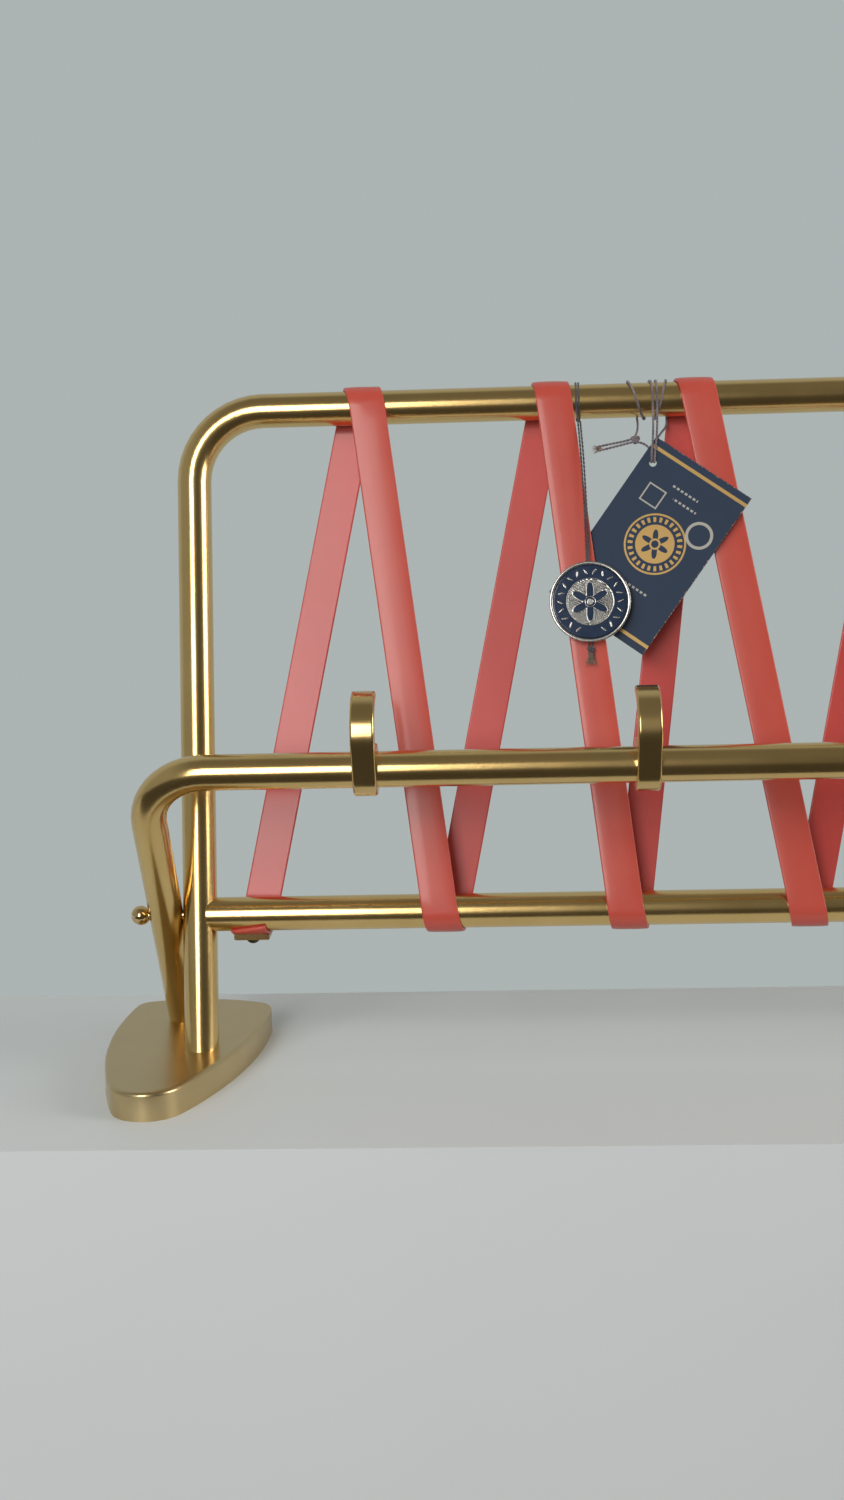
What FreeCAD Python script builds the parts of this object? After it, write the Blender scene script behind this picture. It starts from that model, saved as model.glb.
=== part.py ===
import FreeCAD, Part
import math
import os

Vector = FreeCAD.Vector

# Hat and coat rack, standing on its two wall plates. Millimetres.
# X runs along the rails, +Y is the side that points up on a wall, +Z points away from the wall.
# The origin is the middle of the two wall plates, on the wall face (Z = 0).

# Tubes
tube_d = 14.0
tube_wall = 1.5
post_span = 574.0          # between the axes of the two posts
post_base_y = -7.0         # where a post's axis meets the top of its plate
post_lean = 11.0           # degrees, tilting the shelf frame towards +Y
shelf_reach = 257.3        # height of the top rail's axis above the plates
shelf_bend_r = 29.0
cross_reach = 53.2         # height of the cross rail's axis above the plates
hook_reach = 118.3         # height of the hook rail's axis above the plates
arm_lean = 28.6            # degrees, tilting the hook frame towards -Y
hook_bend_r = 25.0
cope_overlap = 3.5         # how far the cross rail's saddle ends reach round the posts

# Wall plates
plate_t = 11.5
plate_length = 118.4
plate_half_width = 31.2
plate_widest_y = 31.0
plate_nose_r = 15.5
plate_top_arc_r = 72.0
plate_corner_r = 7.8
plate_edge_r = 1.7
plate_splay = 3.5          # degrees, noses turned outwards
plate_outset = 11.8        # plate centre outside the post's axis

# Sockets, plugs and screws that hold the tubes on the plates
socket_depth = 3.0
foot_web = 2.5
plug_length = 16.0
foot_screw_r = 2.5
foot_head_r = 4.0
foot_head_h = 2.5
foot_screw_grip = 12.0
screw_clearance = 0.25

# Hidden hanger in the back of each plate
hanger_t = 2.0
hanger_width = 24.0
hanger_length = 44.0
hanger_x = -11.5           # from the plate's centre, positive towards the middle of the rack
hanger_y = -8.0
hanger_sunk = 0.3
keyhole_entry_r = 4.75
keyhole_slot_r = 2.3
keyhole_slot_length = 13.0
head_room = 6.0
hanger_screw_r = 1.5
hanger_screw_length = 6.0
hanger_screw_inset = 3.3   # from the hanger's ends to its screws
head_side_room = 1.5       # round the wall screw's head, inside the plate

# Ball-head cross screws
ball_r = 4.0
ball_standoff = 3.6
cross_screw_r = 2.0
ball_slot_width = 1.1
ball_slot_depth = 2.4
cross_end_gap = 0.5        # from the clip's screw to the plug, and from the plug's end to the cross screw's

# Hooks
hook_count = 5
hook_pitch = 107.0
hook_width = 9.2
hook_ring_r = 10.2
hook_running_gap = 0.05
hook_face_slope = 20.0     # degrees that the hook's foot leans out
hook_curve_r = 16.3
hook_curve_rise = 14.0
hook_cup_r = 11.2
hook_cup_shift = (-0.3, 1.5)
hook_cup_fillet = 2.2
hook_tip_angle = 84.0
hook_edge_r = 1.0

# Laced band
band_width = 14.5
band_t = 1.6
band_gap = 0.05
band_pitch = 74.7          # the loops start at the left post and repeat while they fit
band_end_inset = 25.5
band_top_share = 0.595     # where a top turn sits between two lower turns
top_drift = [0.1, 3.1, -13.1, 1.5, -1.0, 0.5, 0.0]
low_drift = [-4.0, 1.0, 1.1, -1.3, -1.0, 1.0, 0.5, 4.0]
top_slant = [5.5, 2.8, 3.6, 4.6, 4.6, 4.6, 4.6]      # how far each half turn over the top moves along
low_slant = 4.6            # and each half turn underneath
band_tail = 5.4            # the band's end past the bottom of the cross rail, held by its clip

# Clips on the band's two ends
clip_length = 14.5
clip_depth = 8.0
clip_floor = 1.6
clip_screw_r = 1.5
clip_screw_head_r = 3.0
clip_screw_head_h = 2.2
clip_chamfer = 0.5

# Medallion, from the left post's axis and the top rail's axis
medal_x = 161.8
medal_drop = 84.2
medal_r = 16.3
medal_gap = 2.35           # behind the plaque, in front of the band
medal_t = 2.2
medal_rim_w = 1.3
medal_rim_h = 0.5
enamel_t = 0.35
bail_t = 0.5
bail_width = 3.4
bail_span = 7.0
bail_foot = 1.0
string_slack = 0.1         # between a string and what it lies on or in
medal_string_d = 0.8
medal_strand_x = 0.55      # each strand beside the plaque's middle line
medal_knot_drop = 103.6
medal_knot_gap = 2.85
medal_knot_r = 2.0
medal_knot_length = 6.5
rail_string_gap = 0.15

# Tag
tag_width = 46.0
tag_length = 76.0
tag_leaf_t = 0.35
tag_leaf_gap = 0.3
tag_fold_w = 0.7           # the folded edge that joins the two leaves
tag_hole_r = 1.5
tag_hole_in = 5.0
tag_hole_down = 9.6
tag_hole_x = 188.6
tag_hole_drop = 28.0
tag_gap = 0.25             # front of the tag at its hole, in front of the band
tag_yaw = 6.3              # degrees, its right side stands forward
tag_tilt = 36.0            # degrees, how far the top edge slopes
tag_string_d = 1.0
tag_knot_at = (182.4, -16.6, 1.5)
tag_knot_r = 1.9
tag_tuft_at = (168.6, -19.9, 1.2)
tag_tuft_r = 1.7
tag_tuft_length = 4.2

tube_r = tube_d / 2
half_span = post_span / 2
lean = math.radians(post_lean)
arm = math.radians(arm_lean)
post_axis = Vector(0, math.sin(lean), math.cos(lean))
arm_axis = Vector(0, -math.sin(arm), math.cos(arm))
shelf_out = Vector(0, -math.cos(lean), math.sin(lean))
cross_y = post_base_y + cross_reach * math.tan(lean)
cross_z = plate_t + cross_reach
arm_base_y = cross_y + cross_reach * math.tan(arm)
shelf_length = shelf_reach / math.cos(lean)
low_v = (cross_reach - shelf_reach) / math.cos(lean)
top_rail = Vector(0, post_base_y + shelf_reach * math.tan(lean), plate_t + shelf_reach)
hook_rail = Vector(0, cross_y - (hook_reach - cross_reach) * math.tan(arm), plate_t + hook_reach)
band_front = tube_r + band_gap + band_t
medal_back = band_front + medal_gap
band_loops = int((post_span - 2 * band_end_inset) / band_pitch)
saved = []


def save(name, solids):
    """Write one node's solids and keep a note of its volume."""
    shape = solids[0] if len(solids) == 1 else Part.makeCompound(solids)
    shape.exportStep("parts/" + name + ".step")
    saved.append((name, len(solids), sum(s.Volume for s in solids)))


def rod(radius, start, end):
    return Part.makeCylinder(radius, (end - start).Length, start, end - start)


def mirrored(shape):
    return shape.mirror(Vector(0, 0, 0), Vector(1, 0, 0))


def on_shelf(x, v, u):
    """A point of the leaning shelf: x from the left post, v up it from the top rail, u out of it."""
    return top_rail + Vector(x - half_span, 0, 0) + post_axis * v + shelf_out * u


def pipe(route, radius):
    """A solid rod along a wire, whose first edge is straight."""
    edge = route.Edges[0]
    start = edge.valueAt(edge.FirstParameter)
    direction = edge.tangentAt(edge.FirstParameter)
    disc = Part.Face(Part.Wire([Part.makeCircle(radius, start, direction)]))
    return route.makePipe(disc)


def rounded_route(points, radii):
    """Straight runs joined by tangent arcs: one radius for each inner point."""
    edges = []
    last = points[0]
    for before, corner, after, radius in zip(points, points[1:], points[2:], radii):
        first = (before - corner).normalize()
        second = (after - corner).normalize()
        half_turn = (math.pi - first.getAngle(second)) / 2
        reach = radius * math.tan(half_turn)
        start = corner + first * reach
        end = corner + second * reach
        bisector = (first + second).normalize()
        middle = corner + bisector * (radius / math.cos(half_turn) - radius)
        if (start - last).Length > 1e-6:
            edges.append(Part.LineSegment(last, start).toShape())
        edges.append(Part.Arc(start, middle, end).toShape())
        last = end
    edges.append(Part.LineSegment(last, points[-1]).toShape())
    return Part.Wire(edges)


def frame_points(x, base_y, axis, reach):
    """The four corners of a bent frame: two feet in their sockets and two upper corners."""
    along = axis * (reach / axis.z)
    points = []
    for side in (-1, 1):
        base = Vector(side * x, base_y, plate_t)
        pair = [base - axis * socket_depth, base + along]
        points += pair if side < 0 else pair[::-1]
    return points


def cross_screw_hole():
    """The clearance holes for both cross screws, through arms and posts."""
    reach = half_span + 2 * tube_d
    inner = half_span - 2 * tube_r
    radius = cross_screw_r + screw_clearance
    left = rod(radius, Vector(-reach, cross_y, cross_z), Vector(-inner, cross_y, cross_z))
    return left.fuse(mirrored(left))


def bent_tube(x, base_y, axis, reach, bend_r):
    points = frame_points(x, base_y, axis, reach)
    route = rounded_route(points, [bend_r, bend_r])
    tube = pipe(route, tube_r).cut(pipe(route, tube_r - tube_wall))
    return tube.cut(cross_screw_hole())


def post_envelope(side):
    base = Vector(side * half_span, post_base_y, plate_t)
    return rod(tube_r, base, base + post_axis * shelf_length)


def arm_envelope(side):
    base = Vector(side * (half_span + tube_d), arm_base_y, plate_t)
    return rod(tube_r, base, base + arm_axis * (hook_reach / arm_axis.z))


def cross_rail():
    """A straight tube whose ends are coped to sit against the posts."""
    end = half_span - tube_r + cope_overlap
    low = Vector(-end, cross_y, cross_z)
    high = Vector(end, cross_y, cross_z)
    rail = rod(tube_r, low, high).cut(rod(tube_r - tube_wall, low, high))
    rail = rail.cut(post_envelope(-1)).cut(post_envelope(1))
    return rail.cut([clip_shank(x) for x in (low_turns()[0], low_turns()[-1])])


def cross_plug_end():
    """Where the plug stops, short of the clip's screw, from the post's axis."""
    return low_turns()[0] - clip_screw_r - cross_end_gap


def cross_plug():
    """A turned plug inside the rail's left end, tapped for the cross screw."""
    start = Vector(-half_span + tube_r - cope_overlap, cross_y, cross_z)
    plug = rod(tube_r - tube_wall, start, Vector(cross_plug_end() - half_span, cross_y, cross_z))
    return plug.cut(post_envelope(-1)).cut(cross_shank())


def cross_shank():
    head = -half_span - tube_d - tube_r - ball_standoff
    end = -half_span + cross_plug_end() - cross_end_gap
    return rod(cross_screw_r, Vector(head, cross_y, cross_z), Vector(end, cross_y, cross_z))


def ball_screw():
    """A ball-headed slotted screw, its head seated against the outside of the left arm."""
    centre = Vector(-half_span - tube_d - tube_r - ball_standoff, cross_y, cross_z)
    head = Part.makeSphere(ball_r, centre).cut(arm_envelope(-1))
    slot = Part.makeBox(ball_slot_depth, 3 * ball_r, ball_slot_width)
    slot.translate(centre - Vector(ball_r, 1.5 * ball_r, ball_slot_width / 2))
    return head.fuse(cross_shank()).cut(slot)


def circle_meet(c0, r0, c1, r1, side):
    """One of the two points where two circles cross in a plane; side is +1 or -1."""
    gap = c1 - c0
    span = gap.Length
    along = (r0 * r0 - r1 * r1 + span * span) / (2 * span)
    off = math.sqrt(r0 * r0 - along * along)
    unit = gap * (1 / span)
    return c0 + unit * along + Vector(-unit.y, unit.x, 0) * (off * side)


def plate_outline():
    """Half a shield, nose down: nose arc, long side arc, corner arc and upper arc, then its mirror."""
    nose = Vector(0, plate_nose_r - plate_length / 2, 0)
    rise = plate_widest_y - nose.y
    slack = 2 * (plate_half_width - plate_nose_r)
    side_r = (plate_half_width ** 2 + rise ** 2 - plate_nose_r ** 2) / slack
    side = Vector(plate_half_width - side_r, plate_widest_y, 0)
    crown = Vector(0, plate_length / 2 - plate_top_arc_r, 0)
    corner = circle_meet(side, side_r - plate_corner_r, crown, plate_top_arc_r - plate_corner_r, -1)
    if corner.y < 0:
        corner = circle_meet(side, side_r - plate_corner_r, crown, plate_top_arc_r - plate_corner_r, 1)
    joins = [nose - Vector(0, plate_nose_r, 0)]
    joins.append(nose + (nose - side).normalize() * plate_nose_r)
    joins.append(corner + (corner - side).normalize() * plate_corner_r)
    joins.append(corner + (corner - crown).normalize() * plate_corner_r)
    joins.append(crown + Vector(0, plate_top_arc_r, 0))
    centres = [(nose, plate_nose_r), (side, side_r), (corner, plate_corner_r), (crown, plate_top_arc_r)]
    edges = []
    for start, end, (centre, radius) in zip(joins, joins[1:], centres):
        middle = centre + (start + end - centre * 2).normalize() * radius
        edges.append(Part.Arc(start, middle, end).toShape())
    half = Part.Wire(edges)
    return Part.Wire(half.Edges + mirrored(half).Edges[::-1])


def foot_parts(base, axis):
    """For one tube end: what the plate loses, the plug in the tube and the screw from the back."""
    end = base - axis * socket_depth
    seat = end - axis * foot_web
    cut = rod(tube_r, end, base + axis * tube_d)
    cut = cut.fuse(rod(foot_screw_r + screw_clearance, seat, end + axis))
    cut = cut.fuse(rod(foot_head_r + screw_clearance, seat - axis * plate_t, seat))
    shank = rod(foot_screw_r, seat, end + axis * foot_screw_grip)
    screw = rod(foot_head_r, seat - axis * foot_head_h, seat).fuse(shank)
    plug = rod(tube_r - tube_wall, end, end + axis * plug_length).cut(shank)
    return cut, plug, screw


def left_feet():
    post_foot = foot_parts(Vector(-half_span, post_base_y, plate_t), post_axis)
    arm_foot = foot_parts(Vector(-half_span - tube_d, arm_base_y, plate_t), arm_axis)
    return post_foot, arm_foot


def hanger_centre():
    return Vector(-half_span - plate_outset + hanger_x, hanger_y, 0)


def hanger_screw_points():
    offset = hanger_length / 2 - hanger_screw_inset
    return [hanger_centre() + Vector(0, s * offset, hanger_sunk) for s in (-1, 1)]


def hanger_screw(point):
    """A small countersunk screw, its head flush with the hanger's face."""
    head = Part.makeCone(2 * hanger_screw_r, hanger_screw_r, hanger_screw_r, point)
    return head.fuse(rod(hanger_screw_r, point, point + Vector(0, 0, hanger_screw_length)))


def keyhole():
    """The hole for a wall screw's head, and the narrow slot above it."""
    centre = hanger_centre() - Vector(0, keyhole_slot_length / 2, 1)
    top = centre + Vector(0, keyhole_slot_length, 0)
    depth = Vector(0, 0, 2 * hanger_t)
    slot = Part.makeBox(2 * keyhole_slot_r, keyhole_slot_length, depth.z)
    slot.translate(centre - Vector(keyhole_slot_r, 0, 0))
    entry = rod(keyhole_entry_r, centre, centre + depth)
    return entry.fuse([slot, rod(keyhole_slot_r, top, top + depth)])


def hanger_plate():
    corner = hanger_centre() - Vector(hanger_width / 2, hanger_length / 2, -hanger_sunk)
    sheet = Part.makeBox(hanger_width, hanger_length, hanger_t, corner)
    sheet = sheet.cut(keyhole())
    return sheet.cut([hanger_screw(p) for p in hanger_screw_points()])


def hanger_pocket():
    """The recess for the hanger, the room behind its keyhole and the screws' own holes."""
    corner = hanger_centre() - Vector(hanger_width / 2, hanger_length / 2, 0)
    recess = Part.makeBox(hanger_width, hanger_length, hanger_sunk + hanger_t, corner)
    room_w = 2 * (keyhole_entry_r + head_side_room)
    room_l = keyhole_slot_length + room_w
    room_corner = hanger_centre() - Vector(room_w / 2, room_l / 2, 0)
    room = Part.makeBox(room_w, room_l, hanger_sunk + hanger_t + head_room, room_corner)
    return recess.fuse([room] + [hanger_screw(p) for p in hanger_screw_points()])


def wall_plate():
    """The left plate: a shield with a rounded upper edge, two leaning sockets and its hanger recess."""
    body = Part.Face(plate_outline()).extrude(Vector(0, 0, plate_t))
    rim = [e for e in body.Edges if e.BoundBox.ZMin > plate_t - 0.01]
    body = body.makeFillet(plate_edge_r, rim)
    body.rotate(Vector(0, 0, 0), Vector(0, 0, 1), -plate_splay)
    body.translate(Vector(-half_span - plate_outset, 0, 0))
    body = body.cut([foot[0] for foot in left_feet()])
    return body.cut(hanger_pocket())


def hook_outline():
    """The hook seen from its end, in its own frame: first coordinate along Y, second along Z."""
    slope = math.radians(hook_face_slope)
    face = Vector(-math.cos(slope), -math.sin(slope), 0)
    ring = Vector(0, 0, 0)
    shift = (hook_curve_r - hook_ring_r - hook_curve_rise * math.sin(slope)) / math.cos(slope)
    curve = Vector(shift, hook_curve_rise, 0)
    cup = curve + Vector(hook_cup_shift[0], hook_cup_shift[1], 0)
    fillet = circle_meet(ring, hook_ring_r + hook_cup_fillet, cup, hook_cup_r - hook_cup_fillet, 1)
    tip = math.radians(hook_tip_angle)
    ray = Vector(-math.cos(tip), math.sin(tip), 0)
    outer_tip = curve + ray * hook_curve_r
    inner_tip = cup + ray * hook_cup_r
    tip_middle = (outer_tip + inner_tip) * 0.5
    tip_bulge = tip_middle + Vector(ray.y, -ray.x, 0) * ((outer_tip - inner_tip).Length / 2)
    front = Vector(-1, 0.4, 0).normalize()
    cup_end = cup + (fillet - cup).normalize() * hook_cup_r
    ring_end = fillet + (ring - fillet).normalize() * hook_cup_fillet
    cup_front = cup + Vector(-1, 0.1, 0).normalize() * hook_cup_r
    fillet_mid = fillet + ((cup_end + ring_end) * 0.5 - fillet).normalize() * hook_cup_fillet
    edges = [Part.LineSegment(face * hook_ring_r, curve + face * hook_curve_r).toShape()]
    edges.append(Part.Arc(curve + face * hook_curve_r, curve + front * hook_curve_r, outer_tip).toShape())
    edges.append(Part.Arc(outer_tip, tip_bulge, inner_tip).toShape())
    edges.append(Part.Arc(inner_tip, cup_front, cup_end).toShape())
    edges.append(Part.Arc(cup_end, fillet_mid, ring_end).toShape())
    back = Vector(0.9, -0.44, 0).normalize()
    edges.append(Part.Arc(ring_end, back * hook_ring_r, face * hook_ring_r).toShape())
    return Part.Wire(edges)


def hook(x):
    """One hook: a slice of the hook profile, bored to slide on the hook rail, its edges rounded."""
    body = Part.Face(hook_outline()).extrude(Vector(0, 0, hook_width))
    sides = [e for e in body.Edges if e.BoundBox.ZLength < 1e-3]
    body = body.makeFillet(hook_edge_r, sides)
    bore = Part.makeCylinder(tube_r + hook_running_gap, hook_width)
    body = body.cut(bore)
    frame = FreeCAD.Matrix(0, 0, 1, x - hook_width / 2, 1, 0, 0, hook_rail.y, 0, 1, 0, hook_rail.z)
    body.Placement = FreeCAD.Placement(frame)
    return body


def measured(values, k, beyond):
    """The k-th of some measured values, and a plain one for loops beyond them."""
    return values[k] if k < len(values) else beyond


def low_turns():
    return [band_end_inset + band_pitch * k + measured(low_drift, k, 0) for k in range(band_loops + 1)]


def top_turns():
    return [band_end_inset + band_pitch * (k + band_top_share) + measured(top_drift, k, 0)
            for k in range(band_loops)]


def band_run(x_low, x_top, side):
    """A flat length of band between the two rails, in front (+1) or behind (-1)."""
    inner = side * (tube_r + band_gap)
    outer = side * (tube_r + band_gap + band_t)
    slant = math.cos(math.atan2(x_top - x_low, -low_v))
    half = band_width / slant / 2
    corners = [(x_low - half, low_v), (x_low + half, low_v), (x_top + half, 0), (x_top - half, 0)]
    points = [on_shelf(x, v, inner) for x, v in corners]
    return Part.Face(Part.makePolygon(points + points[:1])).extrude(shelf_out * (outer - inner))


def band_turn(x, v, way):
    """A half turn of band over the top rail (+1) or under the cross rail (-1)."""
    inner = tube_r + band_gap
    start = on_shelf(x - band_width / 2, v, 0)
    end = on_shelf(x + band_width / 2, v, 0)
    ring = rod(inner + band_t, start, end).cut(rod(inner, start, end))
    corner = on_shelf(x - band_width, v, -2 * tube_d)
    half = Part.makePolygon([corner, corner + Vector(2 * band_width, 0, 0),
                             on_shelf(x + band_width, v, 2 * tube_d),
                             on_shelf(x - band_width, v, 2 * tube_d), corner])
    return ring.common(Part.Face(half).extrude(post_axis * (way * 2 * tube_d)))


def end_turn(x, side):
    """The end of the band, from one side of the cross rail to a little past its clip's screw."""
    half = band_turn(x, low_v, -1)
    start = on_shelf(x - band_width, low_v, -side * band_tail)
    keep = Part.makePolygon([start, start + Vector(2 * band_width, 0, 0),
                             on_shelf(x + band_width, low_v, side * 2 * tube_d),
                             on_shelf(x - band_width, low_v, side * 2 * tube_d), start])
    quarter = half.common(Part.Face(keep).extrude(post_axis * (-2 * tube_d)))
    return quarter.cut(clip_shank(x))


def band():
    """The laced band: rear runs up, half turns over the top rail, front runs down, half turns under."""
    low = low_turns()
    top = top_turns()
    solids = [end_turn(low[0], -1), end_turn(low[-1], 1)]
    for k in range(band_loops):
        aside = measured(top_slant, k, low_slant) / 2
        solids.append(band_run(low[k] + low_slant / 2, top[k] - aside, -1))
        solids.append(band_turn(top[k], 0, 1))
        solids.append(band_run(low[k + 1] - low_slant / 2, top[k] + aside, 1))
    solids += [band_turn(x, low_v, -1) for x in low[1:-1]]
    return solids


def clip_shank(x):
    """The clip's screw without its head, from the clip into the cross rail's lower wall."""
    start = Vector(x - half_span, cross_y, cross_z)
    drop = tube_r + band_gap + band_t + clip_floor
    return rod(clip_screw_r, start - Vector(0, 0, drop), start - Vector(0, 0, tube_r - 2 * tube_wall))


def clip(x):
    """A small saddle under the cross rail that pinches the end of the band."""
    drop = tube_r + band_gap + band_t + clip_floor
    corner = Vector(x - half_span - clip_length / 2, cross_y - clip_depth / 2, cross_z - drop)
    block = Part.makeBox(clip_length, clip_depth, drop, corner)
    lower = [e for e in block.Edges if e.BoundBox.ZMax < cross_z - drop + 0.01]
    block = block.makeChamfer(clip_chamfer, lower)
    reach = Vector(clip_length, 0, 0)
    axis = Vector(x - half_span, cross_y, cross_z)
    block = block.cut(rod(tube_r + band_gap + band_t, axis - reach, axis + reach))
    return block.cut(clip_shank(x))


def clip_screw(x):
    """A round-headed screw under a clip."""
    seat = Vector(x - half_span, cross_y, cross_z - tube_r - band_gap - band_t - clip_floor)
    dome_r = (clip_screw_head_r ** 2 + clip_screw_head_h ** 2) / (2 * clip_screw_head_h)
    ball = Part.makeSphere(dome_r, seat + Vector(0, 0, dome_r - clip_screw_head_h))
    below = rod(clip_screw_head_r, seat - Vector(0, 0, clip_screw_head_h), seat)
    return ball.common(below).fuse(clip_shank(x))


def medal_at(u):
    return on_shelf(medal_x, -medal_drop, u)


def medal_body():
    """A round plaque with a raised rim, recessed inside for the enamel."""
    back = medal_at(medal_back)
    face = medal_at(medal_back + medal_t)
    disc = rod(medal_r, back, face + shelf_out * medal_rim_h)
    return disc.cut(rod(medal_r - medal_rim_w, face - shelf_out * enamel_t, face + shelf_out))


def medal_enamel():
    face = medal_at(medal_back + medal_t)
    return rod(medal_r - medal_rim_w, face - shelf_out * enamel_t, face)


def medal_bail():
    """A strap soldered across the back, with the string's two strands under it."""
    gap = medal_string_d + string_slack
    corners = []
    for x, u in ((-1, 0), (-1, 1), (1, 1), (1, 0)):
        corners.append((x * (bail_span / 2), u * (gap + bail_t)))
    inside = bail_span / 2 - bail_foot
    inner = [(-inside, 0), (-inside, gap), (inside, gap), (inside, 0)]
    outline = corners + inner[::-1]
    points = [on_shelf(medal_x + x, -medal_drop - bail_width / 2, medal_back - u) for x, u in outline]
    return Part.Face(Part.makePolygon(points + points[:1])).extrude(post_axis * bail_width)


def rail_turn(x_start, pitch, from_angle, to_angle, string_d):
    """Route points round the top rail, one each 45 degrees. Angle 0 is the front, 90 the top."""
    apothem = tube_r + rail_string_gap + string_d / 2
    radius = apothem / math.cos(math.radians(22.5))
    count = round(abs(to_angle - from_angle) / 45)
    points = []
    for k in range(count + 1):
        angle = from_angle + (to_angle - from_angle) * k / count
        turn = math.radians(angle)
        x = x_start + pitch * (angle - from_angle) / 360
        points.append((x, radius * math.sin(turn), radius * math.cos(turn)))
    return points


def medal_route():
    """From the knot up behind the plaque, nearly twice round the top rail, and down beside itself."""
    left, right = medal_x - medal_strand_x, medal_x + medal_strand_x
    up = [(left - 0.3, -107.5, 10.6), (left, -99.0, 10.4), (left, -85.0, 10.57)]
    up += [(160.9, -67.5, 10.3), (160.6, -48.0, 10.1), (159.9, -30.0, 9.8), (159.2, -17.0, 9.3)]
    up.append((158.7, -9.0, 8.0))
    turns = rail_turn(158.1, 1.1, -22.5, 607.5, medal_string_d)
    down = [(160.0, -9.6, 5.2), (160.0, -14.6, 8.7), (160.5, -22.5, 9.9), (161.0, -35.0, 10.0)]
    down += [(161.6, -51.5, 10.2), (161.9, -68.5, 10.3), (right, -85.5, 10.57), (right, -99.5, 10.4)]
    down.append((right + 0.5, -107.2, 10.6))
    return up + turns + down


def tag_route():
    """From one loose end through the knot, round the rail, through the tag's hole, and back again."""
    knot = [(167.0, -19.0, 0.8), (172.3, -18.0, 1.0), (177.8, -17.2, 1.3), (182.3, -15.9, 0.9)]
    knot.append((184.2, -10.6, -3.6))
    left_turns = rail_turn(183.9, 16.0, 202.5, 112.5, tag_string_d)
    left_turns += rail_turn(179.4, -15.0, 67.5, -67.5, tag_string_d)
    left_turns += rail_turn(186.8, -4.0, -112.5, -337.5, tag_string_d)
    left_drop = [(189.2, -5.0, 7.8), (189.1, -12.5, 9.1), (188.7, -19.0, 10.1), (188.1, -24.0, 10.2)]
    left_fold = [(188.0, -27.5, 9.8), (188.0, -27.5, 7.0), (188.4, -23.6, 6.9), (190.2, -18.2, 6.5)]
    crossing = [(193.3, -14.0, 3.6), (195.9, -10.2, -3.0)]
    right_turns = rail_turn(196.2, 2.0, 202.5, 112.5, tag_string_d)
    right_turns += rail_turn(195.2, 11.0, 67.5, -67.5, tag_string_d)
    right_turns += rail_turn(190.9, -0.4, -112.5, -337.5, tag_string_d)
    right_drop = [(191.0, -5.0, 7.8), (190.7, -12.5, 9.3), (190.1, -19.0, 10.3), (189.4, -24.0, 10.3)]
    right_fold = [(189.2, -27.5, 9.8), (189.2, -27.5, 7.0), (189.0, -24.2, 5.7), (187.2, -19.6, 4.2)]
    tail = [(182.6, -17.4, 2.2), (177.6, -18.6, 2.3), (172.2, -19.8, 1.9), (167.4, -20.8, 1.5)]
    first = knot + left_turns + left_drop + left_fold
    return first + crossing + right_turns + right_drop + right_fold + tail


def tuft(start, radius, length, direction):
    """The frayed end of a string, a short blunt cone."""
    return Part.makeCone(radius * 0.6, radius, length, start, direction)


def medallion_knot():
    start = on_shelf(medal_x, -medal_knot_drop, band_front + medal_knot_gap)
    return tuft(start, medal_knot_r, medal_knot_length, post_axis * -1)


def tag_knots():
    knot = Part.makeSphere(tag_knot_r, on_shelf(*tag_knot_at))
    return [knot, tuft(on_shelf(*tag_tuft_at), tag_tuft_r, tag_tuft_length, Vector(-1, 0, 0))]


def cord_tube(route, diameter, name):
    """A plain tube along a hand-chosen route, each arc as large as its two runs allow."""
    points = [on_shelf(*p) for p in route]
    radii = []
    for before, corner, after in zip(points, points[1:], points[2:]):
        shorter = min((corner - before).Length, (after - corner).Length)
        half_turn = (math.pi - (before - corner).getAngle(after - corner)) / 2
        radii.append(0.45 * shorter / math.tan(half_turn))
    wire = rounded_route(points, radii)
    tube = pipe(wire, diameter / 2)
    share = tube.Volume / (math.pi * diameter ** 2 / 4) / wire.Length
    print(name, "radii", [round(r, 1) for r in radii])
    print(name, "length", round(wire.Length, 1), "volume share", round(share, 4))
    return tube


def tag_frame():
    """The tag's own axes at its hole: along its top edge, down its length and out of its front."""
    yaw = math.radians(tag_yaw)
    tilt = math.radians(tag_tilt)
    across = Vector(math.cos(yaw), 0, 0) + shelf_out * math.sin(yaw)
    out = shelf_out * math.cos(yaw) - Vector(math.sin(yaw), 0, 0)
    top_edge = across * math.cos(tilt) - post_axis * math.sin(tilt)
    down_edge = across * -math.sin(tilt) - post_axis * math.cos(tilt)
    return top_edge, down_edge, out


def tag_card():
    """A folded leaflet of two leaves joined along one long edge, punched near its top corner."""
    top_edge, down_edge, out = tag_frame()
    hole = on_shelf(tag_hole_x, -tag_hole_drop, band_front + tag_gap)
    corner = hole - top_edge * tag_hole_in - down_edge * tag_hole_down
    far = corner + top_edge * tag_width
    points = [corner, far, far + down_edge * tag_length, corner + down_edge * tag_length]
    sheet = Part.Face(Part.makePolygon(points + points[:1]))
    thick = 2 * tag_leaf_t + tag_leaf_gap
    block = sheet.extrude(out * -thick)
    inset = corner + top_edge * tag_fold_w - down_edge - out * tag_leaf_t
    wide = top_edge * tag_width
    long = down_edge * (tag_length + 2)
    slit = Part.Face(Part.makePolygon([inset, inset + wide, inset + wide + long, inset + long, inset]))
    block = block.cut(slit.extrude(out * -tag_leaf_gap))
    return block.cut(rod(tag_hole_r, hole + out, hole - out * (thick + 1)))


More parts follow.
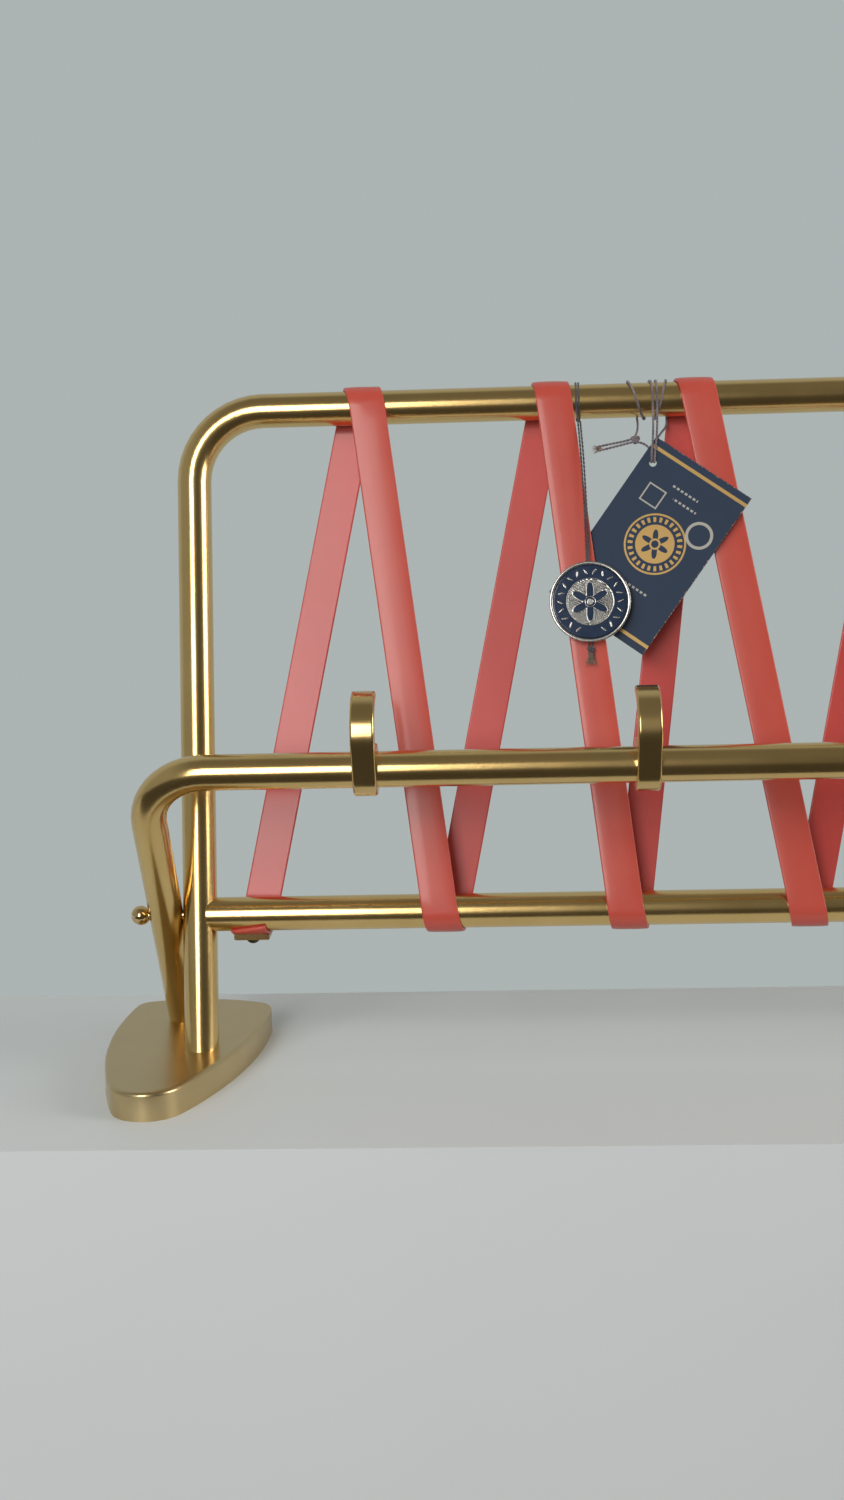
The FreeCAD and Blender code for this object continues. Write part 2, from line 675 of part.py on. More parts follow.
def main():
    os.makedirs("parts", exist_ok=True)
    post_foot, arm_foot = left_feet()
    save("left_wall_plate", [wall_plate()])
    save("right_wall_plate", [mirrored(wall_plate())])
    save("left_hanger_plate", [hanger_plate()])
    save("right_hanger_plate", [mirrored(hanger_plate())])
    small = [hanger_screw(p) for p in hanger_screw_points()]
    save("hanger_screws", small + [mirrored(s) for s in small])
    plugs = [post_foot[1], arm_foot[1]]
    save("tube_end_plugs", plugs + [mirrored(s) for s in plugs])
    screws = [post_foot[2], arm_foot[2]]
    save("foot_screws", screws + [mirrored(s) for s in screws])
    save("shelf_frame", [bent_tube(half_span, post_base_y, post_axis, shelf_reach, shelf_bend_r)])
    save("hook_frame", [bent_tube(half_span + tube_d, arm_base_y, arm_axis, hook_reach, hook_bend_r)])
    save("cross_rail", [cross_rail()])
    save("cross_rail_plugs", [cross_plug(), mirrored(cross_plug())])
    save("left_ball_screw", [ball_screw()])
    save("right_ball_screw", [mirrored(ball_screw())])
    for k in range(hook_count):
        save("hook_%d" % (k + 1), [hook((k - (hook_count - 1) / 2) * hook_pitch)])
    save("lacing_band", band())
    ends = (low_turns()[0], low_turns()[-1])
    save("left_band_clip", [clip(ends[0])])
    save("right_band_clip", [clip(ends[1])])
    save("band_clip_screws", [clip_screw(x) for x in ends])
    save("medallion_body", [medal_body()])
    save("medallion_enamel", [medal_enamel()])
    save("medallion_bail", [medal_bail()])
    save("medallion_string", [cord_tube(medal_route(), medal_string_d, "medallion_string")])
    save("medallion_knot", [medallion_knot()])
    save("tag_card", [tag_card()])
    save("tag_string", [cord_tube(tag_route(), tag_string_d, "tag_string")])
    save("tag_knots", tag_knots())
    for name, count, volume in saved:
        print("%-20s %3d solids %10.1f mm3" % (name, count, volume))


main()
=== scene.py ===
import math

import bpy
import numpy as np
from mathutils import Matrix, Vector


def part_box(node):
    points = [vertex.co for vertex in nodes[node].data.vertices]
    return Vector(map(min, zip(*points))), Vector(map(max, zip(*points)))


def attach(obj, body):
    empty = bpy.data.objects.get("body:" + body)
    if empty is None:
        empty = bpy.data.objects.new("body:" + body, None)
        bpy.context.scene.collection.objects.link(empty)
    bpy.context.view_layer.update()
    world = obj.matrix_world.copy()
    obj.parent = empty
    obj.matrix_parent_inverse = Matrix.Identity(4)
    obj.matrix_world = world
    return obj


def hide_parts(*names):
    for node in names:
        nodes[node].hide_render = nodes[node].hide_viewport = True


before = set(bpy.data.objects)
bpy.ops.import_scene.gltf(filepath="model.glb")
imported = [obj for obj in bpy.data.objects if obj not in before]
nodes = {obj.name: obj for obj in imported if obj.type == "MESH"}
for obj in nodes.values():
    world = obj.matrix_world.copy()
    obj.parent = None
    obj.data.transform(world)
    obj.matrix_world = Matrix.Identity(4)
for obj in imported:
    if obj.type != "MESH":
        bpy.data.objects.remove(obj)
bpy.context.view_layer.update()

# where the rails run, read from the frame; the shelf leans from the cross rail to the top rail
tubeRadius = 0.007
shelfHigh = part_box("shelf_frame")[1]
crossLow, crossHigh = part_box("cross_rail")
halfSpan = shelfHigh.x - tubeRadius
topRail = Vector((0, shelfHigh.y - tubeRadius, shelfHigh.z - tubeRadius))
crossRail = (crossLow + crossHigh) / 2
crossRail.x = 0
shelfUp = (topRail - crossRail).normalized()
shelfOut = Vector((0, -shelfUp.z, shelfUp.y))
shelfLength = (topRail - crossRail).length


def onShelf(x, v, u):
    # x from the left post, v up the shelf from the top rail, u out of its front; numbers or arrays
    x, v, u = (np.asarray(a, float)[..., None] for a in (x, v, u))
    start = np.array(topRail) - np.array((halfSpan, 0, 0))
    return start + x * np.array((1, 0, 0)) + v * np.array(shelfUp) + u * np.array(shelfOut)


# ---- camera

cameraPlace = {"position": (-0.1646, -0.6477, 0.2339), "yaw": -0.045, "pitch": 0.1561,
               "roll": 0.0269, "lens": 39.33}


def makeCamera(place):
    yaw, pitch, roll = place["yaw"], place["pitch"], place["roll"]
    ahead = Vector((math.sin(yaw) * math.cos(pitch), math.cos(yaw) * math.cos(pitch),
                    -math.sin(pitch)))
    right = Vector((math.cos(yaw), -math.sin(yaw), 0))
    down = ahead.cross(right)
    side = right * math.cos(roll) + down * math.sin(roll)
    under = down * math.cos(roll) - right * math.sin(roll)
    data = bpy.data.cameras.new("rackCamera")
    data.lens = place["lens"]
    data.clip_start = 0.02
    camera = bpy.data.objects.new("rackCamera", data)
    bpy.context.scene.collection.objects.link(camera)
    turn = Matrix((side, -under, -ahead)).transposed().to_4x4()
    camera.matrix_world = Matrix.Translation(place["position"]) @ turn
    bpy.context.scene.camera = camera


makeCamera(cameraPlace)
print("camera placed")


# ---- mesh helpers

def addMesh(name, points, faces, body, material):
    # one smooth piece from an array of points and a list of faces, riding on a body
    mesh = bpy.data.meshes.new(name)
    mesh.from_pydata(np.asarray(points).reshape(-1, 3).tolist(), [], faces)
    mesh.validate()
    mesh.polygons.foreach_set("use_smooth", [True] * len(mesh.polygons))
    mesh.materials.append(material)
    mesh.update()
    piece = bpy.data.objects.new(name, mesh)
    bpy.context.scene.collection.objects.link(piece)
    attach(piece, body)
    return piece


def gridFaces(rows, columns):
    # quads of a rows x columns grid of points, whose columns close into a ring
    r, c = np.meshgrid(np.arange(rows - 1), np.arange(columns), indexing="ij")
    here, beside = r * columns + c, r * columns + (c + 1) % columns
    return np.stack([here, beside, beside + columns, here + columns], -1).reshape(-1, 4).tolist()


def closeEnds(rings):
    # a grid of rings as one closed skin: quads between them, a fan onto the middle of the first and last
    rows, columns = rings.shape[:2]
    points, faces = rings.reshape(-1, 3), gridFaces(rows, columns)
    first, last = len(points), len(points) + 1
    points = np.concatenate([points, rings[0].mean(0)[None], rings[-1].mean(0)[None]])
    start = (rows - 1) * columns
    for c in range(columns):
        n = (c + 1) % columns
        faces.append([first, n, c])
        faces.append([last, start + c, start + n])
    return points, faces


def tubeAlong(centre, sideA, sideB, outlineA, outlineB):
    # an outline carried along a path: centre + outlineA * sideA + outlineB * sideB, both ends closed
    return closeEnds(centre[:, None, :] + outlineA[..., None] * sideA[:, None, :]
                     + outlineB[..., None] * sideB[:, None, :])


def pathFrames(line):
    # unit tangents of a line of points, and two sides carried along it with the least turning
    ahead = np.gradient(line, axis=0)
    ahead /= np.linalg.norm(ahead, axis=1)[:, None]
    sides = np.zeros_like(line)
    side = np.cross(ahead[0], (0.3, 0.2, 0.9))
    for k, tangent in enumerate(ahead):
        side = side - tangent * (side @ tangent)
        side = side / np.linalg.norm(side)
        sides[k] = side
    return ahead, sides, np.cross(ahead, sides)


def splineLine(points):
    # the smooth line through a cord's control points, read back from its NURBS spline
    curve = bpy.data.curves.new("route", "CURVE")
    curve.dimensions = "3D"
    curve.resolution_u = 12
    spline = curve.splines.new("NURBS")
    spline.points.add(len(points) - 1)
    flat = np.concatenate([points, np.ones((len(points), 1))], axis=1)
    spline.points.foreach_set("co", flat.ravel())
    spline.order_u = 3
    spline.use_endpoint_u = True
    carrier = bpy.data.objects.new("route", curve)
    mesh = bpy.data.meshes.new_from_object(carrier)
    line = np.zeros(len(mesh.vertices) * 3)
    mesh.vertices.foreach_get("co", line)
    bpy.data.objects.remove(carrier)
    bpy.data.curves.remove(curve)
    bpy.data.meshes.remove(mesh)
    return line.reshape(-1, 3)


def wayAlong(line):
    # how far along a line of points each one lies
    return np.concatenate([[0], np.cumsum(np.linalg.norm(np.diff(line, axis=0), axis=1))])


def evenly(line, step):
    # the same line with its points a step apart, and how far along each lies
    along = wayAlong(line)
    at = np.linspace(0, along[-1], int(along[-1] / step) + 2)
    return np.stack([np.interp(at, along, line[:, k]) for k in range(3)], 1), at


# ---- shared shader groups

def socketTo(tree, node, name, value):
    if isinstance(value, bpy.types.NodeSocket):
        tree.links.new(value, node.inputs[name])
    elif value is not None:
        node.inputs[name].default_value = value


def addNode(tree, kind, settings=None, **inputs):
    # inputs go by socket name, with _ for a space, or by number as i0, i1
    node = tree.nodes.new(kind)
    for key, value in (settings or {}).items():
        setattr(node, key, value)
    for name, value in inputs.items():
        key = int(name[1:]) if name[0] == "i" and name[1:].isdigit() else name.replace("_", " ")
        socketTo(tree, node, key, value)
    return node


def mathNode(tree, operation, a, b=None, c=None):
    node = addNode(tree, "ShaderNodeMath", {"operation": operation})
    for k, value in enumerate((a, b, c)):
        if value is not None:
            socketTo(tree, node, k, value)
    return node.outputs[0]


def mixColour(tree, amount, first, second):
    # sockets 6 and 7 are the mix node's two colours, output 2 its colour
    node = addNode(tree, "ShaderNodeMix", {"data_type": "RGBA"})
    socketTo(tree, node, 0, amount)
    socketTo(tree, node, 6, first)
    socketTo(tree, node, 7, second)
    return node.outputs[2]


def newGroup(name, inputs, outputs):
    tree = bpy.data.node_groups.new(name, "ShaderNodeTree")
    for label, kind, value in inputs:
        socket = tree.interface.new_socket(label, in_out="INPUT", socket_type=kind)
        if value is not None:
            socket.default_value = value
    for label, kind in outputs:
        tree.interface.new_socket(label, in_out="OUTPUT", socket_type=kind)
    return tree, tree.nodes.new("NodeGroupInput").outputs, tree.nodes.new("NodeGroupOutput").inputs


def satinGroup():
    # the satin of blasted and anodised metal: fine grain, slow cloudiness, and a few rubbed smudges
    tree, given, out = newGroup("satinSurface", [
        ("Vector", "NodeSocketVector", None), ("Grain Scale", "NodeSocketFloat", 2500.0),
        ("Roughness", "NodeSocketFloat", 0.27), ("Spread", "NodeSocketFloat", 0.06)], [
        ("Roughness", "NodeSocketFloat"), ("Height", "NodeSocketFloat"), ("Cloud", "NodeSocketFloat")])
    grain = addNode(tree, "ShaderNodeTexNoise", Vector=given["Vector"], Scale=given["Grain Scale"],
                    Detail=3.0, Roughness=0.6)
    cloud = addNode(tree, "ShaderNodeTexNoise", Vector=given["Vector"], Scale=38.0, Detail=4.0,
                    Roughness=0.55)
    smudge = addNode(tree, "ShaderNodeTexNoise", Vector=given["Vector"], Scale=11.0, Detail=2.0,
                     Distortion=1.2)
    rubbed = addNode(tree, "ShaderNodeMapRange", Value=smudge.outputs[0], From_Min=0.56, From_Max=0.72)
    wide = mathNode(tree, "SUBTRACT", cloud.outputs[0], 0.5)
    fine = mathNode(tree, "SUBTRACT", grain.outputs[0], 0.5)
    both = mathNode(tree, "ADD", wide, mathNode(tree, "MULTIPLY", fine, 0.5))
    both = mathNode(tree, "ADD", both, mathNode(tree, "MULTIPLY", rubbed.outputs[0], 0.35))
    rough = mathNode(tree, "MULTIPLY_ADD", both, given["Spread"], given["Roughness"])
    tree.links.new(rough, out["Roughness"])
    tree.links.new(grain.outputs[0], out["Height"])
    tree.links.new(cloud.outputs[0], out["Cloud"])
    return tree


def ringGroup():
    # 1 inside a ring of a given middle radius and width round a centre, fading over a soft edge
    tree, given, out = newGroup("ringMask", [
        ("Vector", "NodeSocketVector", None), ("Centre", "NodeSocketVector", (0, 0, 0)),
        ("Radius", "NodeSocketFloat", 0.005), ("Half Width", "NodeSocketFloat", 0.0005)], [
        ("Mask", "NodeSocketFloat")])
    gap = addNode(tree, "ShaderNodeVectorMath", {"operation": "DISTANCE"}, i0=given["Vector"],
                  i1=given["Centre"])
    off = mathNode(tree, "ABSOLUTE", mathNode(tree, "SUBTRACT", gap.outputs["Value"], given["Radius"]))
    past = mathNode(tree, "SUBTRACT", off, given["Half Width"])
    mask = addNode(tree, "ShaderNodeMapRange", Value=past, From_Min=0.00005, From_Max=-0.00005)
    tree.links.new(mask.outputs[0], out["Mask"])
    return tree


def stripeGroup():
    # 1 inside a straight stripe: how far a coordinate is from a middle line, against a half width
    tree, given, out = newGroup("stripeMask", [
        ("Value", "NodeSocketFloat", 0.0), ("Middle", "NodeSocketFloat", 0.0),
        ("Half Width", "NodeSocketFloat", 0.0005)], [("Mask", "NodeSocketFloat")])
    off = mathNode(tree, "ABSOLUTE", mathNode(tree, "SUBTRACT", given["Value"], given["Middle"]))
    past = mathNode(tree, "SUBTRACT", off, given["Half Width"])
    mask = addNode(tree, "ShaderNodeMapRange", Value=past, From_Min=0.00005, From_Max=-0.00005)
    tree.links.new(mask.outputs[0], out["Mask"])
    return tree


groups = {"satin": satinGroup(), "ring": ringGroup(), "stripe": stripeGroup()}


def useGroup(tree, name, **inputs):
    node = tree.nodes.new("ShaderNodeGroup")
    node.node_tree = groups[name]
    for key, value in inputs.items():
        socketTo(tree, node, key.replace("_", " "), value)
    return node.outputs


# ---- materials

def newMaterial(name, **settings):
    material = bpy.data.materials.new(name)
    material.use_nodes = True
    shader = material.node_tree.nodes["Principled BSDF"]
    for key, value in settings.items():
        shader.inputs[key.replace("_", " ")].default_value = value
    return material, material.node_tree, shader


def satinMetal(name, look):
    # a metal with the shared satin: its tint wavers with the cloudiness, its bump is the grain
    material, tree, shader = newMaterial(name, Metallic=1.0, Coat_Weight=look.get("coat", 0.0),
                                         Coat_Roughness=0.15)
    place = addNode(tree, "ShaderNodeTexCoord").outputs["Object"]
    satin = useGroup(tree, "satin", Vector=place, Grain_Scale=look["grain"],
                     Roughness=look["roughness"], Spread=look["spread"])
    colour = mixColour(tree, satin["Cloud"], look["dark"], look["light"])
    tree.links.new(colour, shader.inputs["Base Color"])
    tree.links.new(satin["Roughness"], shader.inputs["Roughness"])
    bump = addNode(tree, "ShaderNodeBump", Height=satin["Height"], Strength=look["bump"],
                   Distance=0.00002)
    tree.links.new(bump.outputs[0], shader.inputs["Normal"])
    return material


metalLooks = {
    "tubeGold": {"dark": (0.67, 0.45, 0.16, 1), "light": (0.84, 0.60, 0.25, 1), "grain": 2600.0,
                 "roughness": 0.21, "spread": 0.05, "bump": 0.25, "coat": 0.5},
    "plateGold": {"dark": (0.56, 0.42, 0.21, 1), "light": (0.68, 0.53, 0.29, 1), "grain": 1900.0,
                  "roughness": 0.30, "spread": 0.08, "bump": 0.6},
    "hookGold": {"dark": (0.64, 0.44, 0.16, 1), "light": (0.80, 0.57, 0.24, 1), "grain": 2600.0,
                 "roughness": 0.20, "spread": 0.05, "bump": 0.25, "coat": 0.5},
    "ballGold": {"dark": (0.66, 0.45, 0.20, 1), "light": (0.82, 0.60, 0.30, 1), "grain": 2600.0,
                 "roughness": 0.15, "spread": 0.05, "bump": 0.3},
    "clipGold": {"dark": (0.54, 0.33, 0.14, 1), "light": (0.70, 0.47, 0.22, 1), "grain": 2200.0,
                 "roughness": 0.27, "spread": 0.08, "bump": 0.5},
    "blackenedScrew": {"dark": (0.03, 0.027, 0.022, 1), "light": (0.09, 0.08, 0.06, 1),
                       "grain": 3000.0, "roughness": 0.42, "spread": 0.12, "bump": 0.6},
    "zincSteel": {"dark": (0.42, 0.42, 0.41, 1), "light": (0.58, 0.58, 0.56, 1), "grain": 2200.0,
                  "roughness": 0.38, "spread": 0.12, "bump": 0.5},
    "turnedAlloy": {"dark": (0.62, 0.62, 0.62, 1), "light": (0.74, 0.74, 0.74, 1), "grain": 2400.0,
                    "roughness": 0.32, "spread": 0.08, "bump": 0.5},
    "medalSilver": {"dark": (0.42, 0.41, 0.38, 1), "light": (0.66, 0.66, 0.64, 1), "grain": 3200.0,
                    "roughness": 0.24, "spread": 0.10, "bump": 0.4},
}
metals = {name: satinMetal(name, look) for name, look in metalLooks.items()}


def bandMaterial(look):
    # glossy band: the outer face a little more orange than the inner one, faint drawn lines along it
    material, tree, shader = newMaterial(
        "bandPlastic", IOR=1.49, Subsurface_Weight=look["depth"], Coat_Weight=look["coat"],
        Coat_Roughness=0.12, Subsurface_Radius=(0.9, 0.25, 0.2), Subsurface_Scale=0.001)
    uv = addNode(tree, "ShaderNodeUVMap", {"uv_map": "bandWay"}).outputs[0]
    place = addNode(tree, "ShaderNodeTexCoord").outputs["Object"]
    face = addNode(tree, "ShaderNodeAttribute", {"attribute_name": "outerFace"}).outputs["Fac"]
    stretched = addNode(tree, "ShaderNodeMapping", Vector=uv, Scale=(3.0, 900.0, 1.0)).outputs[0]
    lines = addNode(tree, "ShaderNodeTexNoise", Vector=stretched, Scale=1.0, Detail=3.0)
    cloud = addNode(tree, "ShaderNodeTexNoise", Vector=place, Scale=45.0, Detail=4.0)
    dust = addNode(tree, "ShaderNodeTexNoise", Vector=place, Scale=1400.0, Detail=2.0)
    outer = mixColour(tree, cloud.outputs[0], look["outerDark"], look["outerLight"])
    inner = mixColour(tree, cloud.outputs[0], look["innerDark"], look["innerLight"])
    tree.links.new(mixColour(tree, face, inner, outer), shader.inputs["Base Color"])
    rough = mathNode(tree, "MULTIPLY_ADD", cloud.outputs[0], 0.10, look["roughness"] - 0.05)
    rough = mathNode(tree, "MULTIPLY_ADD", dust.outputs[0], 0.05, rough)
    tree.links.new(rough, shader.inputs["Roughness"])
    height = mathNode(tree, "MULTIPLY_ADD", lines.outputs[0], 1.0,
                      mathNode(tree, "MULTIPLY", dust.outputs[0], 0.25))
    bump = addNode(tree, "ShaderNodeBump", Height=height, Strength=0.35, Distance=0.00006)
    tree.links.new(bump.outputs[0], shader.inputs["Normal"])
    return material


bandLook = {"outerDark": (0.50, 0.062, 0.042, 1), "outerLight": (0.57, 0.090, 0.062, 1),
            "innerDark": (0.50, 0.050, 0.042, 1), "innerLight": (0.57, 0.074, 0.062, 1),
            "roughness": 0.33, "coat": 0.25, "depth": 0.08}
bandPlastic = bandMaterial(bandLook)


def threadMaterial(name, look):
    # spun thread: light and dark fibres by the way along and round each ply
    material, tree, shader = newMaterial(name, Sheen_Weight=0.3, Sheen_Roughness=0.5)
    uv = addNode(tree, "ShaderNodeUVMap", {"uv_map": "threadWay"}).outputs[0]
    place = addNode(tree, "ShaderNodeTexCoord").outputs["Object"]
    stretched = addNode(tree, "ShaderNodeMapping", Vector=uv, Scale=(900.0, 14.0, 1.0)).outputs[0]
    fibres = addNode(tree, "ShaderNodeTexNoise", Vector=stretched, Scale=1.0, Detail=3.0)
    patches = addNode(tree, "ShaderNodeTexNoise", Vector=place, Scale=170.0, Detail=3.0)
    both = mathNode(tree, "MULTIPLY_ADD", fibres.outputs[0], 0.5,
                    mathNode(tree, "MULTIPLY", patches.outputs[0], 0.5))
    spread = addNode(tree, "ShaderNodeMapRange", Value=both, From_Min=0.36, From_Max=0.64).outputs[0]
    tree.links.new(mixColour(tree, spread, look["dark"], look["light"]), shader.inputs["Base Color"])
    rough = mathNode(tree, "MULTIPLY_ADD", fibres.outputs[0], 0.2, 0.65)
    tree.links.new(rough, shader.inputs["Roughness"])
    bump = addNode(tree, "ShaderNodeBump", Height=fibres.outputs[0], Strength=0.6, Distance=0.00008)
    tree.links.new(bump.outputs[0], shader.inputs["Normal"])
    return material


threadLooks = {"medalThread": {"dark": (0.02, 0.024, 0.04, 1), "light": (0.11, 0.095, 0.095, 1)},
               "tagThread": {"dark": (0.10, 0.08, 0.10, 1), "light": (0.30, 0.25, 0.27, 1)},
               "frayedThread": {"dark": (0.10, 0.07, 0.06, 1), "light": (0.38, 0.28, 0.20, 1)}}
threads = {name: threadMaterial(name, look) for name, look in threadLooks.items()}


# ---- the two strings, with the route's points as they lie on the shelf

railGap = 0.00015   # between the rail and a string that goes round it
uvTurn = 6.28       # one turn round a thread, in its UV map
threadStep = 0.00022
medalX = 0.1618
medalRoute = {
    "thickness": 0.0008, "length": 0.295, "twist": 0.0034,
    "turn": (0.1581, 0.0011, -22.5, 607.5),   # start along the rail, move on each turn, two angles
    "up": [(medalX - 0.00085, -0.1075, 0.0106), (medalX - 0.00055, -0.0990, 0.0104),
           (medalX - 0.00055, -0.0850, 0.01057), (0.1609, -0.0675, 0.0103), (0.1606, -0.0480, 0.0101),
           (0.1599, -0.0300, 0.0098), (0.1592, -0.0170, 0.0093), (0.1587, -0.0090, 0.0080)],
    "down": [(0.1600, -0.0096, 0.0052), (0.1600, -0.0146, 0.0087), (0.1605, -0.0225, 0.0099),
             (0.1610, -0.0350, 0.0100), (0.1616, -0.0515, 0.0102), (0.1619, -0.0685, 0.0103),
             (medalX + 0.00055, -0.0855, 0.01057), (medalX + 0.00055, -0.0995, 0.0104),
             (medalX + 0.00105, -0.1072, 0.0106)],
}
tagRoute = {
    "thickness": 0.0010, "length": 0.305, "twist": 0.0029,
    "firstTurns": [(0.1839, 0.016, 202.5, 112.5), (0.1794, -0.015, 67.5, -67.5),
                   (0.1868, -0.004, -112.5, -337.5)],
    "lastTurns": [(0.1962, 0.002, 202.5, 112.5), (0.1952, 0.011, 67.5, -67.5),
                  (0.1909, -0.0004, -112.5, -337.5)],
    "knot": [(0.1670, -0.0190, 0.0008), (0.1723, -0.0180, 0.0010), (0.1778, -0.0172, 0.0013),
             (0.1823, -0.0159, 0.0009), (0.1842, -0.0106, -0.0036)],
    "leftDrop": [(0.1892, -0.0050, 0.0078), (0.1891, -0.0125, 0.0091), (0.1887, -0.0190, 0.0101),
                 (0.1881, -0.0240, 0.0102), (0.1880, -0.0275, 0.0098), (0.1880, -0.0275, 0.0070),
                 (0.1884, -0.0236, 0.0069), (0.1902, -0.0182, 0.0065)],
    "crossing": [(0.1933, -0.0140, 0.0036), (0.1959, -0.0102, -0.0030)],
    "rightDrop": [(0.1910, -0.0050, 0.0078), (0.1907, -0.0125, 0.0093), (0.1901, -0.0190, 0.0103),
                  (0.1894, -0.0240, 0.0103), (0.1892, -0.0275, 0.0098), (0.1892, -0.0275, 0.0070),
                  (0.1890, -0.0242, 0.0057), (0.1872, -0.0196, 0.0042)],
    "tail": [(0.1826, -0.0174, 0.0022), (0.1776, -0.0186, 0.0023), (0.1722, -0.0198, 0.0019),
             (0.1674, -0.0208, 0.0015)],
}


def railTurn(xStart, pitch, fromAngle, toAngle, thickness):
    # points round the top rail, one each 45 degrees; angle 0 is the front and 90 the top
    count = round(abs(toAngle - fromAngle) / 45) + 1
    angle = np.linspace(fromAngle, toAngle, count)
    radius = (tubeRadius + railGap + thickness / 2) / math.cos(math.radians(22.5))
    x = xStart + pitch * (angle - fromAngle) / 360
    turn = np.radians(angle)
    return list(zip(x, radius * np.sin(turn), radius * np.cos(turn)))


def medalString(route):
    turns = railTurn(*route["turn"], route["thickness"])
    return onShelf(*np.array(route["up"] + turns + route["down"]).T)


def tagString(route):
    first, last = (sum((railTurn(*turn, route["thickness"]) for turn in route[key]), [])
                   for key in ("firstTurns", "lastTurns"))
    points = (route["knot"] + first + route["leftDrop"] + route["crossing"] + last
              + route["rightDrop"] + route["tail"])
    return onShelf(*np.array(points).T)


def ringAngles(count):
    return np.linspace(0, 2 * math.pi, count, endpoint=False)


def threadWay(along, ring):
    # UV pairs of a closed tube: the way along it, and the way round in turns; two more for its ends
    way = np.stack([np.repeat(along, len(ring)), np.tile(ring / uvTurn, len(along))], 1)
    return np.concatenate([way, [[0, 0], [along[-1], 0]]])


def twistedThread(name, control, route, body, material):
    # two plies wound round the spline: each centre is thickness/4 off it and turns once each twist
    line, along = evenly(splineLine(control), threadStep)
    _, sideA, sideB = pathFrames(line)
    ply = route["thickness"] / 4
    ring = ringAngles(8)
    points, faces, ways = [], [], []
    for strand in (0, 1):
        turn = 2 * math.pi * along / route["twist"] + math.pi * strand
        centre = line + ply * (np.cos(turn)[:, None] * sideA + np.sin(turn)[:, None] * sideB)
        uneven = 1 + 0.06 * np.sin(along * 2100 + strand)
        width = (ply * 1.12 * uneven)[:, None]   # the plies press into each other a little
        verts, quads = tubeAlong(centre, sideA, sideB, width * np.cos(ring), width * np.sin(ring))
        start = sum(len(p) for p in points)
        points.append(verts)
        faces += [[v + start for v in q] for q in quads]
        ways.append(threadWay(along, ring))
    piece = addMesh(name, np.concatenate(points), faces, body, material)
    paintUv(piece, "threadWay", np.concatenate(ways))
    return piece, line


def paintUv(piece, name, ways):
    # a UV map from one pair of numbers per point
    mesh = piece.data
    layer = mesh.uv_layers.new(name=name)
    corner = np.zeros(len(mesh.loops), np.int32)
    mesh.loops.foreach_get("vertex_index", corner)
    layer.data.foreach_set("uv", ways[corner].astype(np.float32).ravel())


def fibreTuft(name, tuft, body):
    # frayed ends: thin fibres that leave a bound neck and spread, each a bent tapering tube
    rng = np.random.default_rng(tuft["seed"])
    start, way = onShelf(*tuft["start"]), np.array(tuft["way"], float)
    way /= np.linalg.norm(way)
    sideA = np.cross(way, (0.1, 0.9, 0.3))
    sideA /= np.linalg.norm(sideA)
    sideB = np.cross(way, sideA)
    t = np.linspace(0, 1, 9)[:, None]
    ring = ringAngles(5)
    points, faces, ways = [], [], []
    for _ in range(tuft["count"]):
        angle, reach = rng.uniform(0, 2 * math.pi), rng.uniform(0.2, 1.0) ** 0.5
        out = sideA * math.cos(angle) + sideB * math.sin(angle)
        curl = rng.normal(0, 1, 3) * tuft["curl"]
        length = tuft["length"] * rng.uniform(0.65, 1.05)
        centre = (start + out * tuft["neck"] * reach * 0.5 + way * length * t
                  + out * tuft["spread"] * reach * t ** 1.5 + curl * t ** 2)
        _, a, b = pathFrames(centre)
        width = tuft["fibre"] * (1 - 0.5 * t)
        verts, quads = tubeAlong(centre, a, b, width * np.cos(ring), width * np.sin(ring))
        base = sum(len(p) for p in points)
        points.append(verts)
        faces += [[v + base for v in q] for q in quads]
        ways.append(threadWay(t[:, 0] * length, ring))
    piece = addMesh(name, np.concatenate(points), faces, body, threads["frayedThread"])
    paintUv(piece, "threadWay", np.concatenate(ways))
    return piece


def boundKnot(name, knot, body, material):
    # an overhand knot: a trefoil line r = 2 + cos 3t pressed along the string, as one thick thread
    t = ringAngles(160)
    across, up = np.sin(t) + 2 * np.sin(2 * t), np.cos(t) - 2 * np.cos(2 * t)
    size = knot["size"]
    flat = np.stack([across * size[0], up * size[1], -np.sin(3 * t) * size[2]], 1)
    middle = np.array(onShelf(*knot["at"]))
    axes = np.array([(1, 0, 0), tuple(shelfUp), tuple(shelfOut)])
    centre = middle + flat @ axes
    ahead = np.roll(centre, -1, 0) - np.roll(centre, 1, 0)
    ahead /= np.linalg.norm(ahead, axis=1)[:, None]
    outward = centre - middle
    sideA = np.cross(ahead, outward)
    sideA /= np.linalg.norm(sideA, axis=1)[:, None]
    sideB = np.cross(ahead, sideA)
    ring = ringAngles(8)
    width = knot["thickness"] / 2
    points = (centre[:, None, :] + width * np.cos(ring)[None, :, None] * sideA[:, None, :]
              + width * np.sin(ring)[None, :, None] * sideB[:, None, :])
    points = np.concatenate([points, points[:1]])
    piece = addMesh(name, points, gridFaces(len(points), len(ring)), body, material)
    way = threadWay(np.linspace(0, 0.02, len(points)), ring)
    paintUv(piece, "threadWay", way[:-2])   # a closed loop has no ends
    return piece


